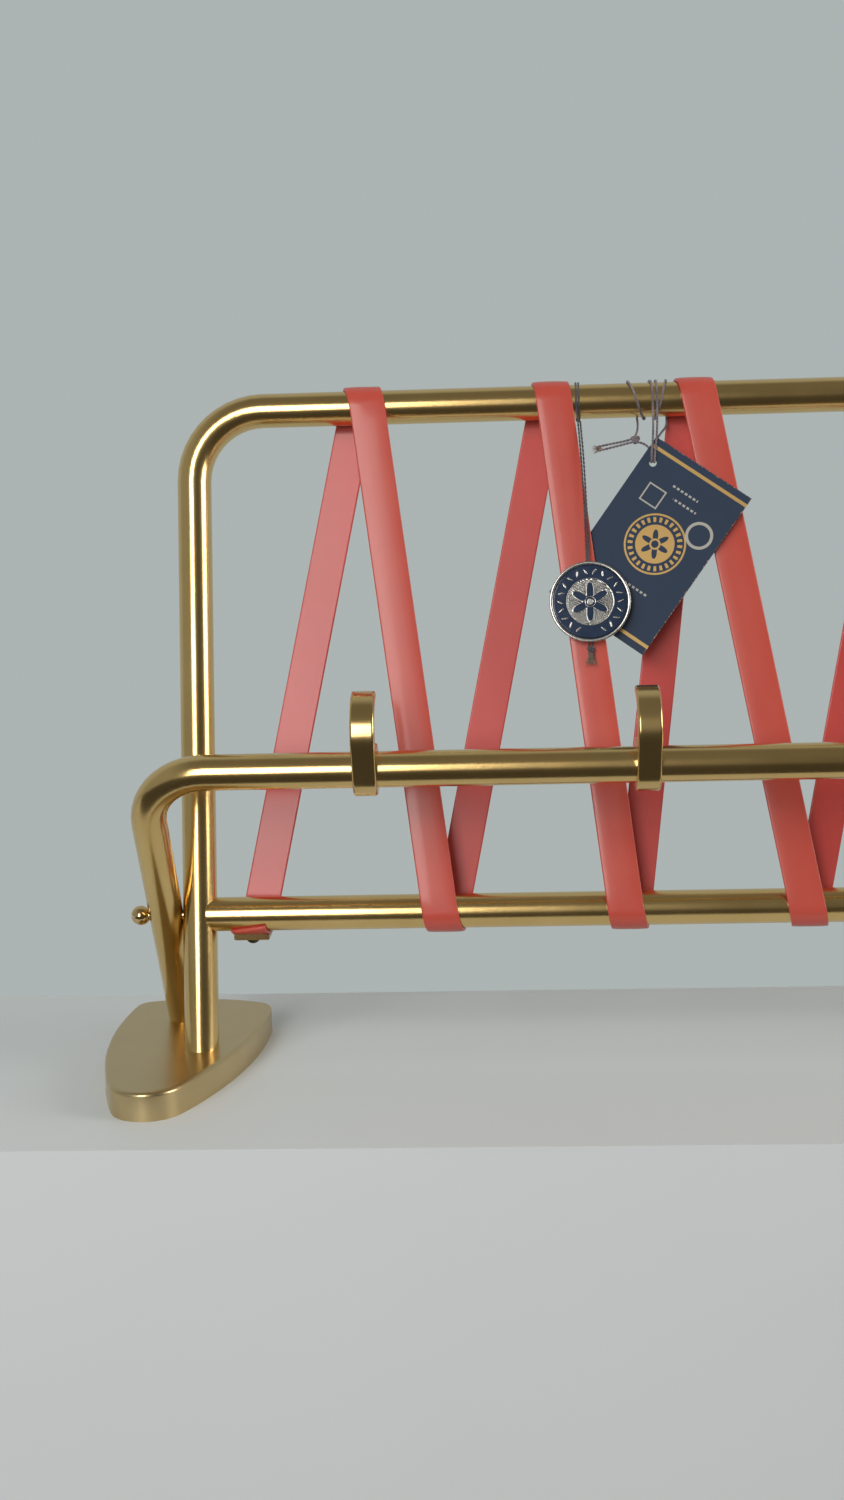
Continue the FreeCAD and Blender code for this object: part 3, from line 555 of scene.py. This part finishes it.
tufts = {
    "medalTassel": {"start": (medalX, -0.1042, 0.0108), "way": tuple(-shelfUp), "length": 0.0056,
                    "count": 46, "spread": 0.0015, "neck": 0.0016, "fibre": 0.00011, "curl": 0.0003,
                    "seed": 4},
    "tagTassel": {"start": (0.1686, -0.0199, 0.0012), "way": (-1, -0.05, -0.08), "length": 0.0036,
                  "count": 34, "spread": 0.0010, "neck": 0.0013, "fibre": 0.00010, "curl": 0.0003,
                  "seed": 9},
}
knots = {
    "medalKnot": {"at": (medalX, -0.1033, 0.0113), "size": (0.00042, 0.00034, 0.00036),
                  "thickness": 0.0010},
    "tagKnot": {"at": (0.1824, -0.0166, 0.0016), "size": (0.00050, 0.00046, 0.00038),
                "thickness": 0.0012},
}
medalThread, medalLine = twistedThread("medalThread", medalString(medalRoute), medalRoute, "medallion",
                                       threads["medalThread"])
tagThread, tagLine = twistedThread("tagThread", tagString(tagRoute), tagRoute, "rack",
                                   threads["tagThread"])
medalTassel = fibreTuft("medalTassel", tufts["medalTassel"], "medallion")
tagTassel = fibreTuft("tagTassel", tufts["tagTassel"], "rack")
medalKnot = boundKnot("medalKnot", knots["medalKnot"], "medallion",
                      threads["medalThread"])
tagKnot = boundKnot("tagKnot", knots["tagKnot"], "rack", threads["tagThread"])
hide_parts("medallion_string")
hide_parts("tag_string")
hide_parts("medallion_knot")
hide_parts("tag_knots")
print("strings made")


# ---- the laced band

lacing = {"width": 0.0145, "middle": 0.0016, "edge": 0.0013, "gap": 0.00005, "endInset": 0.0255,
          "loops": 7, "pitch": 0.0747, "topShare": 0.595, "tail": 43, "crown": 3.2,
          "turnPoints": 15, "runPoints": 26, "facePoints": 14,
          "topDrift": [0.0001, 0.0031, -0.0131, 0.0015, -0.001, 0.0005, 0],
          "lowDrift": [-0.004, 0.001, 0.0011, -0.0013, -0.001, 0.001, 0.0005, 0.004],
          "topSlant": [0.0055, 0.0028, 0.0036, 0.0046, 0.0046, 0.0046, 0.0046],
          "lowSlant": 0.0046}


def bandPath(lace):
    # way along: up behind, a half turn over the top rail, down in front, a half turn underneath;
    # x moves on during each half turn too, so the turns are as slanted as the runs
    radius = tubeRadius + lace["gap"] + lace["middle"] / 2
    loops, low, top = lace["loops"], lace["lowSlant"], lace["topSlant"]
    pitch = lace["pitch"]
    lowX = lace["endInset"] + pitch * np.arange(loops + 1) + lace["lowDrift"]
    topX = lace["endInset"] + pitch * (np.arange(loops) + lace["topShare"]) + lace["topDrift"]
    parts = []

    def add(x, v, u, angle):
        parts.append(np.stack(np.broadcast_arrays(x, v, u, angle)))

    def arc(xMiddle, slant, vMiddle, fromAngle, toAngle):
        # xMiddle is where the band crosses the top or the bottom of the rail, 90 degrees from its sides
        angle = np.linspace(fromAngle, toAngle, lace["turnPoints"])
        pole = 90 if vMiddle == 0 else -90
        turn = np.radians(angle)
        add(xMiddle + slant * (pole - angle) / 180, vMiddle + radius * np.sin(turn),
            radius * np.cos(turn), turn)

    def run(xFrom, xTo, vFrom, vTo, angle):
        share = np.linspace(0, 1, lace["runPoints"])[1:-1]
        add(xFrom + (xTo - xFrom) * share, vFrom + (vTo - vFrom) * share, radius * math.cos(angle),
            angle)

    arc(lowX[0], low, -shelfLength, lace["tail"] - 90, -180)
    for k in range(loops):
        run(lowX[k] + low / 2, topX[k] - top[k] / 2, -shelfLength, 0, math.pi)
        arc(topX[k], top[k], 0, 180, 0)
        run(topX[k] + top[k] / 2, lowX[k + 1] - low / 2, 0, -shelfLength, 0)
        arc(lowX[k + 1], low, -shelfLength, 0, -90 - lace["tail"] if k == loops - 1 else -180)
    x, v, u, turn = np.concatenate(parts, axis=1)
    outward = onShelf(halfSpan, np.sin(turn), np.cos(turn)) - np.array(topRail)
    return onShelf(x, v, u), outward


def bandSection(lace):
    # across the band: flat inside, a little crowned outside, both edges rounded; the points stand close
    # at the edges, so the shading turns there and not across the faces
    half, count = lace["width"] / 2, lace["facePoints"]
    crown = np.concatenate([[-1, -0.955], np.linspace(-0.86, 0.86, count - 4), [0.955, 1]])
    edge, middle = lace["edge"], lace["middle"]
    topA = crown * (half - 0.00022)
    topB = -middle / 2 + edge + (middle - edge) * (1 - np.abs(crown) ** lace["crown"])
    lowA = (half - 0.00020) * np.array([1, 0.945, 0.45, 0, -0.45, -0.945, -1])
    lowB = np.full(len(lowA), -middle / 2)
    rightA, rightB = np.array([half, half]), -middle / 2 + edge * np.array([0.82, 0.18])
    a = np.concatenate([topA, rightA, lowA, -rightA])
    b = np.concatenate([topB, rightB, lowB, rightB[::-1]])
    face = np.concatenate([np.ones(count), [0.6, 0.4], np.zeros(len(lowA)), [0.4, 0.6]])
    return a, b, face


def laceBand(lace):
    centre, outward = bandPath(lace)
    ahead = np.gradient(centre, axis=0)
    ahead /= np.linalg.norm(ahead, axis=1)[:, None]
    across = np.cross(outward, ahead)
    across /= np.linalg.norm(across, axis=1)[:, None]
    a, b, face = bandSection(lace)
    points, quads = tubeAlong(centre, -across, outward, np.tile(a, (len(centre), 1)),
                              np.tile(b, (len(centre), 1)))
    piece = addMesh("lacedBand", points, quads, "rack", bandPlastic)
    along = wayAlong(centre)
    way = np.stack([np.repeat(along, len(a)), np.tile(a, len(along))], 1)
    paintUv(piece, "bandWay", np.concatenate([way, [[0, 0], [along[-1], 0]]]))
    mask = piece.data.attributes.new("outerFace", "FLOAT", "POINT")
    values = np.concatenate([np.tile(face, len(centre)), [0.5, 0.5]])
    mask.data.foreach_set("value", values.astype(np.float32))
    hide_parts("lacing_band")


laceBand(lacing)
print("band laced")


# ---- the medallion

medal = {"drop": 0.0842, "radius": 0.0163, "back": 0.0110, "thick": 0.0022, "rimWidth": 0.0013,
         "rimHeight": 0.0005, "enamel": 0.00035, "relief": 0.00016, "field": 0.0094,
         "dashes": 22, "dashMiddle": 0.01225, "dashLong": 0.00135, "dashWide": 0.00048, "petals": 6,
         "petalMiddle": 0.0054, "petalReach": 0.0026, "hatch": 0.0009, "eye": 0.0021}


def smoothStep(value, low, high):
    t = np.clip((value - low) / (high - low), 0, 1)
    return t * t * (3 - 2 * t)


def medalRelief(r, angle, m):
    # 1 where silver stands up through the enamel: field ring, leaf dashes, hatched field, rosette line
    soft = 0.00009
    ringLine = 1 - smoothStep(np.abs(r - m["field"]), 0.00022, 0.00022 + soft)
    step = 2 * math.pi / m["dashes"]
    number = np.round(angle / step)
    local = (angle - number * step) * r
    lean = np.where(number % 2 == 0, 1, -1) * 0.45
    outward = r - m["dashMiddle"]
    along, aside = outward + local * lean * 0.3, local - outward * lean
    dash = np.sqrt((along / m["dashLong"]) ** 2 + (aside / m["dashWide"]) ** 2)
    leaf = 1 - smoothStep(dash, 0.85, 1.15)
    gapAtFoot = smoothStep(np.abs(np.angle(np.exp(1j * (angle + math.pi / 2)))), 0.20, 0.24)
    petal = m["petalMiddle"] + m["petalReach"] * np.cos(m["petals"] * (angle - math.pi / 2))
    line = 1 - smoothStep(np.abs(r - petal), 0.00030, 0.00030 + soft)
    hatch = 0.55 + 0.45 * np.sin(2 * math.pi * (r * np.sin(angle + 0.5)) / m["hatch"])
    between = smoothStep(r, petal + 0.0002, petal + 0.0003)
    between = between * (1 - smoothStep(r, m["field"] - 0.0003, m["field"] - 0.0002))
    heart = 1 - smoothStep(r, 0.0013, 0.0014)
    eye = 1 - smoothStep(np.abs(r - m["eye"]), 0.00016, 0.00024)
    inner = np.maximum.reduce([line, between * (0.62 + 0.38 * hatch), heart, eye])
    return np.maximum.reduce([ringLine, leaf * gapAtFoot, inner * (r < m["field"])])


def medalPlaque(m):
    # a turned disc: back, side, rounded rim, then the face as height over (radius, angle)
    angle = np.linspace(-math.pi, math.pi, 360, endpoint=False)
    faceR = np.linspace(m["radius"] - m["rimWidth"] - 0.0001, 0.00004, 104)
    rimR = m["radius"] - m["rimWidth"] * (0.5 - 0.5 * np.cos(np.linspace(0, math.pi, 9)))
    rimH = m["thick"] + m["rimHeight"] * np.sin(np.linspace(0.25, math.pi, 9)) ** 0.6
    outlineR = np.concatenate([[0.0002, m["radius"] - 0.0006, m["radius"] - 0.0001, m["radius"]], rimR])
    outlineH = np.concatenate([[0, 0, 0.00012, 0.0005], rimH])
    floor = m["thick"] - m["enamel"]
    r, a = np.meshgrid(np.concatenate([outlineR, faceR]), angle, indexing="ij")
    relief = medalRelief(r, a, m)
    height = np.concatenate([outlineH, np.full(len(faceR), floor)])[:, None]
    onFace = np.arange(len(r)) >= len(outlineR)
    height = height + np.where(onFace[:, None], relief * (m["enamel"] + m["relief"]), 0)
    return placeMedal(r, a, height, m)


def placeMedal(r, a, height, m):
    x = medalX + r * np.cos(a)
    v = -m["drop"] + r * np.sin(a)
    return onShelf(x, v, m["back"] + height)


def closedDisc(name, points, material):
    # a grid of rings whose first and last ring close onto their middle points
    flat, faces = closeEnds(points)
    return addMesh(name, flat, faces, "medallion", material)


def enamelMaterial():
    material, tree, shader = newMaterial("navyEnamel", IOR=1.55, Coat_Weight=0.6, Coat_Roughness=0.05)
    place = addNode(tree, "ShaderNodeTexCoord").outputs["Object"]
    cloud = addNode(tree, "ShaderNodeTexNoise", Vector=place, Scale=260.0, Detail=3.0)
    pits = addNode(tree, "ShaderNodeTexVoronoi", Vector=place, Scale=1500.0)
    pitted = addNode(tree, "ShaderNodeMapRange", Value=pits.outputs["Distance"], From_Min=0.0,
                     From_Max=0.18).outputs[0]
    colour = mixColour(tree, cloud.outputs[0], (0.007, 0.018, 0.045, 1), (0.016, 0.036, 0.085, 1))
    tree.links.new(colour, shader.inputs["Base Color"])
    rough = mathNode(tree, "MULTIPLY_ADD", cloud.outputs[0], 0.12, 0.12)
    tree.links.new(rough, shader.inputs["Roughness"])
    bump = addNode(tree, "ShaderNodeBump", Height=pitted, Strength=0.25, Distance=0.00003)
    tree.links.new(bump.outputs[0], shader.inputs["Normal"])
    return material


def medalEnamel(m):
    # the enamel lies in the plaque's hollow, a little domed, its edge met by the rim
    angle = np.linspace(-math.pi, math.pi, 180, endpoint=False)
    r = np.concatenate([[0.0002], np.linspace(m["radius"] - m["rimWidth"] - 0.00002, 0.0001, 26)])
    dome = 0.00006 * (1 - (r / m["radius"]) ** 2)
    height = np.concatenate([[m["thick"] - m["enamel"] + 0.00002], (m["thick"] - 0.00006 + dome)[1:]])
    r, a = np.meshgrid(r, angle, indexing="ij")
    return placeMedal(r, a, height[:, None], m)


plaque = closedDisc("medalPlaque", medalPlaque(medal), metals["medalSilver"])
enamel = closedDisc("medalEnamel", medalEnamel(medal), enamelMaterial())
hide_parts("medallion_body")
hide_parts("medallion_enamel")
print("medallion made")


# ---- the tag's card keeps its CAD shape; its print is placed by its own axes

tag = {"yaw": 6.3, "tilt": 36.0, "hole": (0.1886, -0.0280, 0.0089), "holeIn": 0.005,
       "holeDown": 0.0096, "width": 0.046, "length": 0.076}


def tagAxes(t):
    yaw, tilt = math.radians(t["yaw"]), math.radians(t["tilt"])
    across = Vector((math.cos(yaw), 0, 0)) + shelfOut * math.sin(yaw)
    out = shelfOut * math.cos(yaw) - Vector((math.sin(yaw), 0, 0))
    along = across * math.cos(tilt) - shelfUp * math.sin(tilt)
    down = -across * math.sin(tilt) - shelfUp * math.cos(tilt)
    corner = Vector(onShelf(*t["hole"])) - along * t["holeIn"] - down * t["holeDown"]
    return corner, along, down, out


def cardMaterial(t, look):
    # printed navy card: two stripes, a ring badge with a rosette, a pale ring and a pale square
    material, tree, shader = newMaterial("printedCard", IOR=1.36)
    place = addNode(tree, "ShaderNodeTexCoord").outputs["Object"]
    corner, along, down, out = tagAxes(t)
    shifted = addNode(tree, "ShaderNodeVectorMath", {"operation": "SUBTRACT"}, i0=place,
                      i1=tuple(corner)).outputs[0]
    right, lower = (addNode(tree, "ShaderNodeVectorMath", {"operation": "DOT_PRODUCT"}, i0=shifted,
                            i1=tuple(axis)).outputs["Value"] for axis in (along, down))
    point = addNode(tree, "ShaderNodeCombineXYZ", i0=right, i1=lower).outputs[0]

    def ring(centre, radius, half):
        return useGroup(tree, "ring", Vector=point, Centre=(*centre, 0), Radius=radius,
                        Half_Width=half)["Mask"]

    def stripe(value, middle, half):
        return useGroup(tree, "stripe", Value=value, Middle=middle, Half_Width=half)["Mask"]

    badge = look["badge"]
    edgeIn, edgeHalf = look["stripe"]
    gold = mathNode(tree, "MAXIMUM", stripe(lower, edgeIn, edgeHalf),
                    stripe(lower, t["length"] - edgeIn, edgeHalf))
    gold = mathNode(tree, "MAXIMUM", gold, ring(badge, *look["badgeRing"]))
    disc = ring(badge, 0.0, look["disc"])
    toBadge = addNode(tree, "ShaderNodeVectorMath", {"operation": "SUBTRACT"}, i0=point,
                      i1=(*badge, 0)).outputs[0]
    split = addNode(tree, "ShaderNodeSeparateXYZ", Vector=toBadge).outputs
    angle = mathNode(tree, "ARCTAN2", split[1], split[0])
    wave = mathNode(tree, "COSINE", mathNode(tree, "MULTIPLY", angle, look["petals"]))
    petal = mathNode(tree, "MULTIPLY_ADD", wave, look["petalReach"], look["petalMiddle"])
    reach = addNode(tree, "ShaderNodeVectorMath", {"operation": "LENGTH"}, i0=toBadge).outputs["Value"]
    rosette = stripe(reach, 0.0, petal)
    rosetteLine = stripe(reach, petal, 0.00030)
    heart = ring(badge, *look["heart"])
    dashWave = mathNode(tree, "COSINE", mathNode(tree, "MULTIPLY", angle, look["dashes"]))
    dashes = mathNode(tree, "MULTIPLY", ring(badge, *look["dashRing"]),
                      mathNode(tree, "GREATER_THAN", dashWave, 0.1))
    gold = mathNode(tree, "MAXIMUM", gold, dashes)
    disc = mathNode(tree, "MULTIPLY", disc, mathNode(tree, "SUBTRACT", 1.0, rosette))
    gold = mathNode(tree, "MAXIMUM", gold, disc)
    gold = mathNode(tree, "MAXIMUM", gold, mathNode(tree, "MAXIMUM", heart, rosetteLine))
    pale = ring(look["paleRing"], *look["paleRingLine"])
    square = look["paleSquare"]
    farX = mathNode(tree, "ABSOLUTE", mathNode(tree, "SUBTRACT", right, square[0]))
    farY = mathNode(tree, "ABSOLUTE", mathNode(tree, "SUBTRACT", lower, square[1]))
    squareLine = stripe(mathNode(tree, "MAXIMUM", farX, farY), 0.0038, 0.0003)
    pale = mathNode(tree, "MAXIMUM", pale, squareLine)
    for middle, fromX, toX in look["rules"]:
        within = stripe(right, (fromX + toX) / 2, (toX - fromX) / 2)
        beads = mathNode(tree, "GREATER_THAN", mathNode(tree, "SINE", mathNode(
            tree, "MULTIPLY", right, 3300.0)), -0.35)
        rule = mathNode(tree, "MULTIPLY", stripe(lower, middle, 0.00045), within)
        pale = mathNode(tree, "MAXIMUM", pale, mathNode(tree, "MULTIPLY", rule, beads))
    fibres = addNode(tree, "ShaderNodeTexNoise", Vector=place, Scale=1300.0, Detail=4.0)
    cloud = addNode(tree, "ShaderNodeTexNoise", Vector=place, Scale=60.0, Detail=3.0)
    navy = mixColour(tree, cloud.outputs[0], look["navyDark"], look["navyLight"])
    printed = mixColour(tree, gold, navy, look["gold"])
    printed = mixColour(tree, pale, printed, look["pale"])
    normal = addNode(tree, "ShaderNodeNewGeometry").outputs["True Normal"]
    facing = addNode(tree, "ShaderNodeVectorMath", {"operation": "DOT_PRODUCT"}, i0=normal,
                     i1=tuple(out)).outputs["Value"]
    flatSide = mathNode(tree, "GREATER_THAN", mathNode(tree, "ABSOLUTE", facing), 0.7)
    front = mathNode(tree, "GREATER_THAN", facing, 0.7)
    whole = mixColour(tree, front, navy, printed)
    edge = mixColour(tree, fibres.outputs[0], look["edgeDark"], look["edgeLight"])
    worn = addNode(tree, "ShaderNodeMapRange", Value=fibres.outputs[0], From_Min=0.52,
                   From_Max=0.66).outputs[0]
    nearEdge = mathNode(tree, "MAXIMUM",
                        stripe(right, t["width"], 0.00035), stripe(lower, 0.0, 0.00030))
    scuffed = mathNode(tree, "MULTIPLY", nearEdge, worn)
    whole = mixColour(tree, scuffed, whole, look["edgeLight"])
    tree.links.new(mixColour(tree, flatSide, edge, whole), shader.inputs["Base Color"])
    rough = mathNode(tree, "MULTIPLY_ADD", gold, -0.12, 0.50)
    rough = mathNode(tree, "MULTIPLY_ADD", cloud.outputs[0], 0.08, rough)
    tree.links.new(rough, shader.inputs["Roughness"])
    tree.links.new(mathNode(tree, "MULTIPLY", gold, mathNode(tree, "MULTIPLY", front, 0.35)),
                   shader.inputs["Metallic"])
    bump = addNode(tree, "ShaderNodeBump", Height=fibres.outputs[0], Strength=0.25, Distance=0.00004)
    tree.links.new(bump.outputs[0], shader.inputs["Normal"])
    return material


cardLook = {"badge": (0.0244, 0.0363), "paleRing": (0.0372, 0.0238), "paleSquare": (0.0125, 0.0205),
            "stripe": (0.0036, 0.0007), "badgeRing": (0.0121, 0.0004), "dashRing": (0.0100, 0.0010),
            "heart": (0.0019, 0.0004), "paleRingLine": (0.0050, 0.0006), "disc": 0.0079,
            "petals": 6.0, "petalMiddle": 0.0044, "petalReach": 0.0019, "dashes": 26.0,
            "rules": [(0.0128, 0.017, 0.029), (0.0172, 0.020, 0.031), (0.0555, 0.012, 0.034)],
            "navyDark": (0.013, 0.026, 0.058, 1), "navyLight": (0.022, 0.042, 0.080, 1),
            "gold": (0.40, 0.25, 0.08, 1), "pale": (0.42, 0.40, 0.36, 1),
            "edgeDark": (0.22, 0.12, 0.06, 1), "edgeLight": (0.42, 0.27, 0.16, 1)}
printedCard = cardMaterial(tag, cardLook)


# ---- finishes of the CAD pieces that stay

finishes = {"tubeGold": ["shelf_frame", "hook_frame", "cross_rail"],
            "plateGold": ["left_wall_plate", "right_wall_plate"],
            "hookGold": ["hook_1", "hook_2", "hook_3", "hook_4", "hook_5"],
            "ballGold": ["left_ball_screw", "right_ball_screw"],
            "clipGold": ["left_band_clip", "right_band_clip"],
            "blackenedScrew": ["band_clip_screws"],
            "zincSteel": ["left_hanger_plate", "right_hanger_plate", "hanger_screws", "foot_screws"],
            "turnedAlloy": ["tube_end_plugs", "cross_rail_plugs"],
            "medalSilver": ["medallion_bail"]}


def finishNodes():
    for metal, names in finishes.items():
        for name in names:
            setMaterial(nodes[name], metals[metal])
    setMaterial(nodes["tag_card"], printedCard)


def setMaterial(piece, material):
    if not piece.material_slots:
        piece.data.materials.append(material)
    for slot in piece.material_slots:
        slot.material = material


finishNodes()
print("finishes set")


# ---- floor and light

stageLook = {"floor": (0.72, 0.75, 0.755, 1), "floorBack": 0.101, "floorFront": -0.086, "slab": 0.6,
             "wall": (0.413, 0.458, 0.450, 1), "wallGlow": (0.40, 0.43, 0.42, 1),
             "ceiling": (0.17, 0.165, 0.15, 1), "ahead": (0.12, 0.118, 0.11, 1),
             "below": (0.06, 0.056, 0.05, 1), "left": (0.30, 0.31, 0.30, 1),
             "right": (0.085, 0.083, 0.075, 1)}


def makeFloor(look):
    # a pale shelf-like floor: its top, and the face under its front edge
    half, back, front, low = 3.0, look["floorBack"], look["floorFront"], -look["slab"]
    mesh = bpy.data.meshes.new("floor")
    mesh.from_pydata([(-half, front, 0), (half, front, 0), (half, back, 0), (-half, back, 0),
                      (-half, front, low), (half, front, low)], [], [(0, 1, 2, 3), (4, 5, 1, 0)])
    floor = bpy.data.objects.new("floor", mesh)
    bpy.context.scene.collection.objects.link(floor)
    material, tree, shader = newMaterial("paleFloor", Roughness=0.55)
    place = addNode(tree, "ShaderNodeTexCoord").outputs["Object"]
    cloud = addNode(tree, "ShaderNodeTexNoise", Vector=place, Scale=9.0, Detail=4.0)
    dark = tuple(c * 0.95 for c in look["floor"][:3]) + (1,)
    tree.links.new(mixColour(tree, cloud.outputs[0], dark, look["floor"]), shader.inputs["Base Color"])
    mesh.materials.append(material)


def makeWorld(look):
    # the room's light by direction: dim ceiling and ahead, dark below, paler to the left, darker to the
    # right, and the wall behind; the camera itself sees the wall's colour
    world = bpy.data.worlds.new("softRoom")
    bpy.context.scene.world = world
    world.use_nodes = True
    tree = world.node_tree
    tree.nodes.clear()
    way = addNode(tree, "ShaderNodeTexCoord").outputs["Generated"]
    parts = addNode(tree, "ShaderNodeSeparateXYZ", Vector=way).outputs
    ramp = tree.nodes.new("ShaderNodeValToRGB")
    ramp.color_ramp.elements[0].position = 0.44
    ramp.color_ramp.elements[0].color = look["below"]
    ramp.color_ramp.elements[1].position = 0.50
    ramp.color_ramp.elements[1].color = look["ahead"]
    for place, colour in ((0.72, look["ahead"]), (0.90, look["ceiling"])):
        ramp.color_ramp.elements.new(place).color = colour
    tree.links.new(mathNode(tree, "MULTIPLY_ADD", parts[2], 0.5, 0.5), ramp.inputs[0])

    def rising(value, start, end):
        return addNode(tree, "ShaderNodeMapRange", Value=value, From_Min=start, From_Max=end).outputs[0]

    behind = rising(parts[1], 0.0, 0.3)
    toLeft = rising(parts[0], -0.35, -0.75)
    toRight = rising(parts[0], 0.05, 0.30)
    above = rising(parts[2], -0.1, 0.0)
    low = rising(parts[2], 0.55, 0.35)
    room = mixColour(tree, mathNode(tree, "MULTIPLY", toRight, mathNode(tree, "MULTIPLY", above, low)),
                     ramp.outputs[0], look["right"])
    room = mixColour(tree, mathNode(tree, "MULTIPLY", toLeft, above), room, look["left"])
    room = mixColour(tree, behind, room, look["wallGlow"])
    seen = addNode(tree, "ShaderNodeLightPath").outputs["Is Camera Ray"]
    colour = mixColour(tree, seen, room, look["wall"])
    shade = addNode(tree, "ShaderNodeBackground", Color=colour, Strength=1.0)
    end = tree.nodes.new("ShaderNodeOutputWorld")
    tree.links.new(shade.outputs[0], end.inputs[0])


lampTarget = Vector((-0.2, 0, 0.15))
lights = {
    "windowAhead": {"azimuth": -14, "height": 15, "far": 2.5, "size": (0.82, 1.35), "power": 25,
                    "colour": (1, 0.99, 0.96), "mirrored": True},
    "windowRight": {"azimuth": 76, "height": 16, "far": 2.5, "size": (1.1, 1.3), "power": 26,
                    "colour": (1, 0.98, 0.94), "mirrored": True},
    "fillAhead": {"azimuth": -30, "height": 31, "far": 2.2, "size": (0.9, 0.9), "power": 17,
                  "colour": (0.98, 0.99, 1), "mirrored": False},
}


def makeLight(name, light):
    # a soft panel that faces the rack; azimuth 0 is straight in front and positive to the right
    data = bpy.data.lights.new(name, "AREA")
    data.shape = "RECTANGLE"
    data.size, data.size_y = light["size"]
    data.energy = light["power"]
    data.color = light["colour"]
    lamp = bpy.data.objects.new(name, data)
    lamp.visible_glossy = light["mirrored"]
    bpy.context.scene.collection.objects.link(lamp)
    side, up = math.radians(light["azimuth"]), math.radians(light["height"])
    way = Vector((math.sin(side) * math.cos(up), -math.cos(side) * math.cos(up), math.sin(up)))
    turn = (-way).to_track_quat("-Z", "Y").to_matrix().to_4x4()
    lamp.matrix_world = Matrix.Translation(lampTarget + way * light["far"]) @ turn


bpy.context.scene.view_settings.view_transform = "Standard"
makeFloor(stageLook)
makeWorld(stageLook)
for lightName, lightLook in lights.items():
    makeLight(lightName, lightLook)
print("floor and light set")
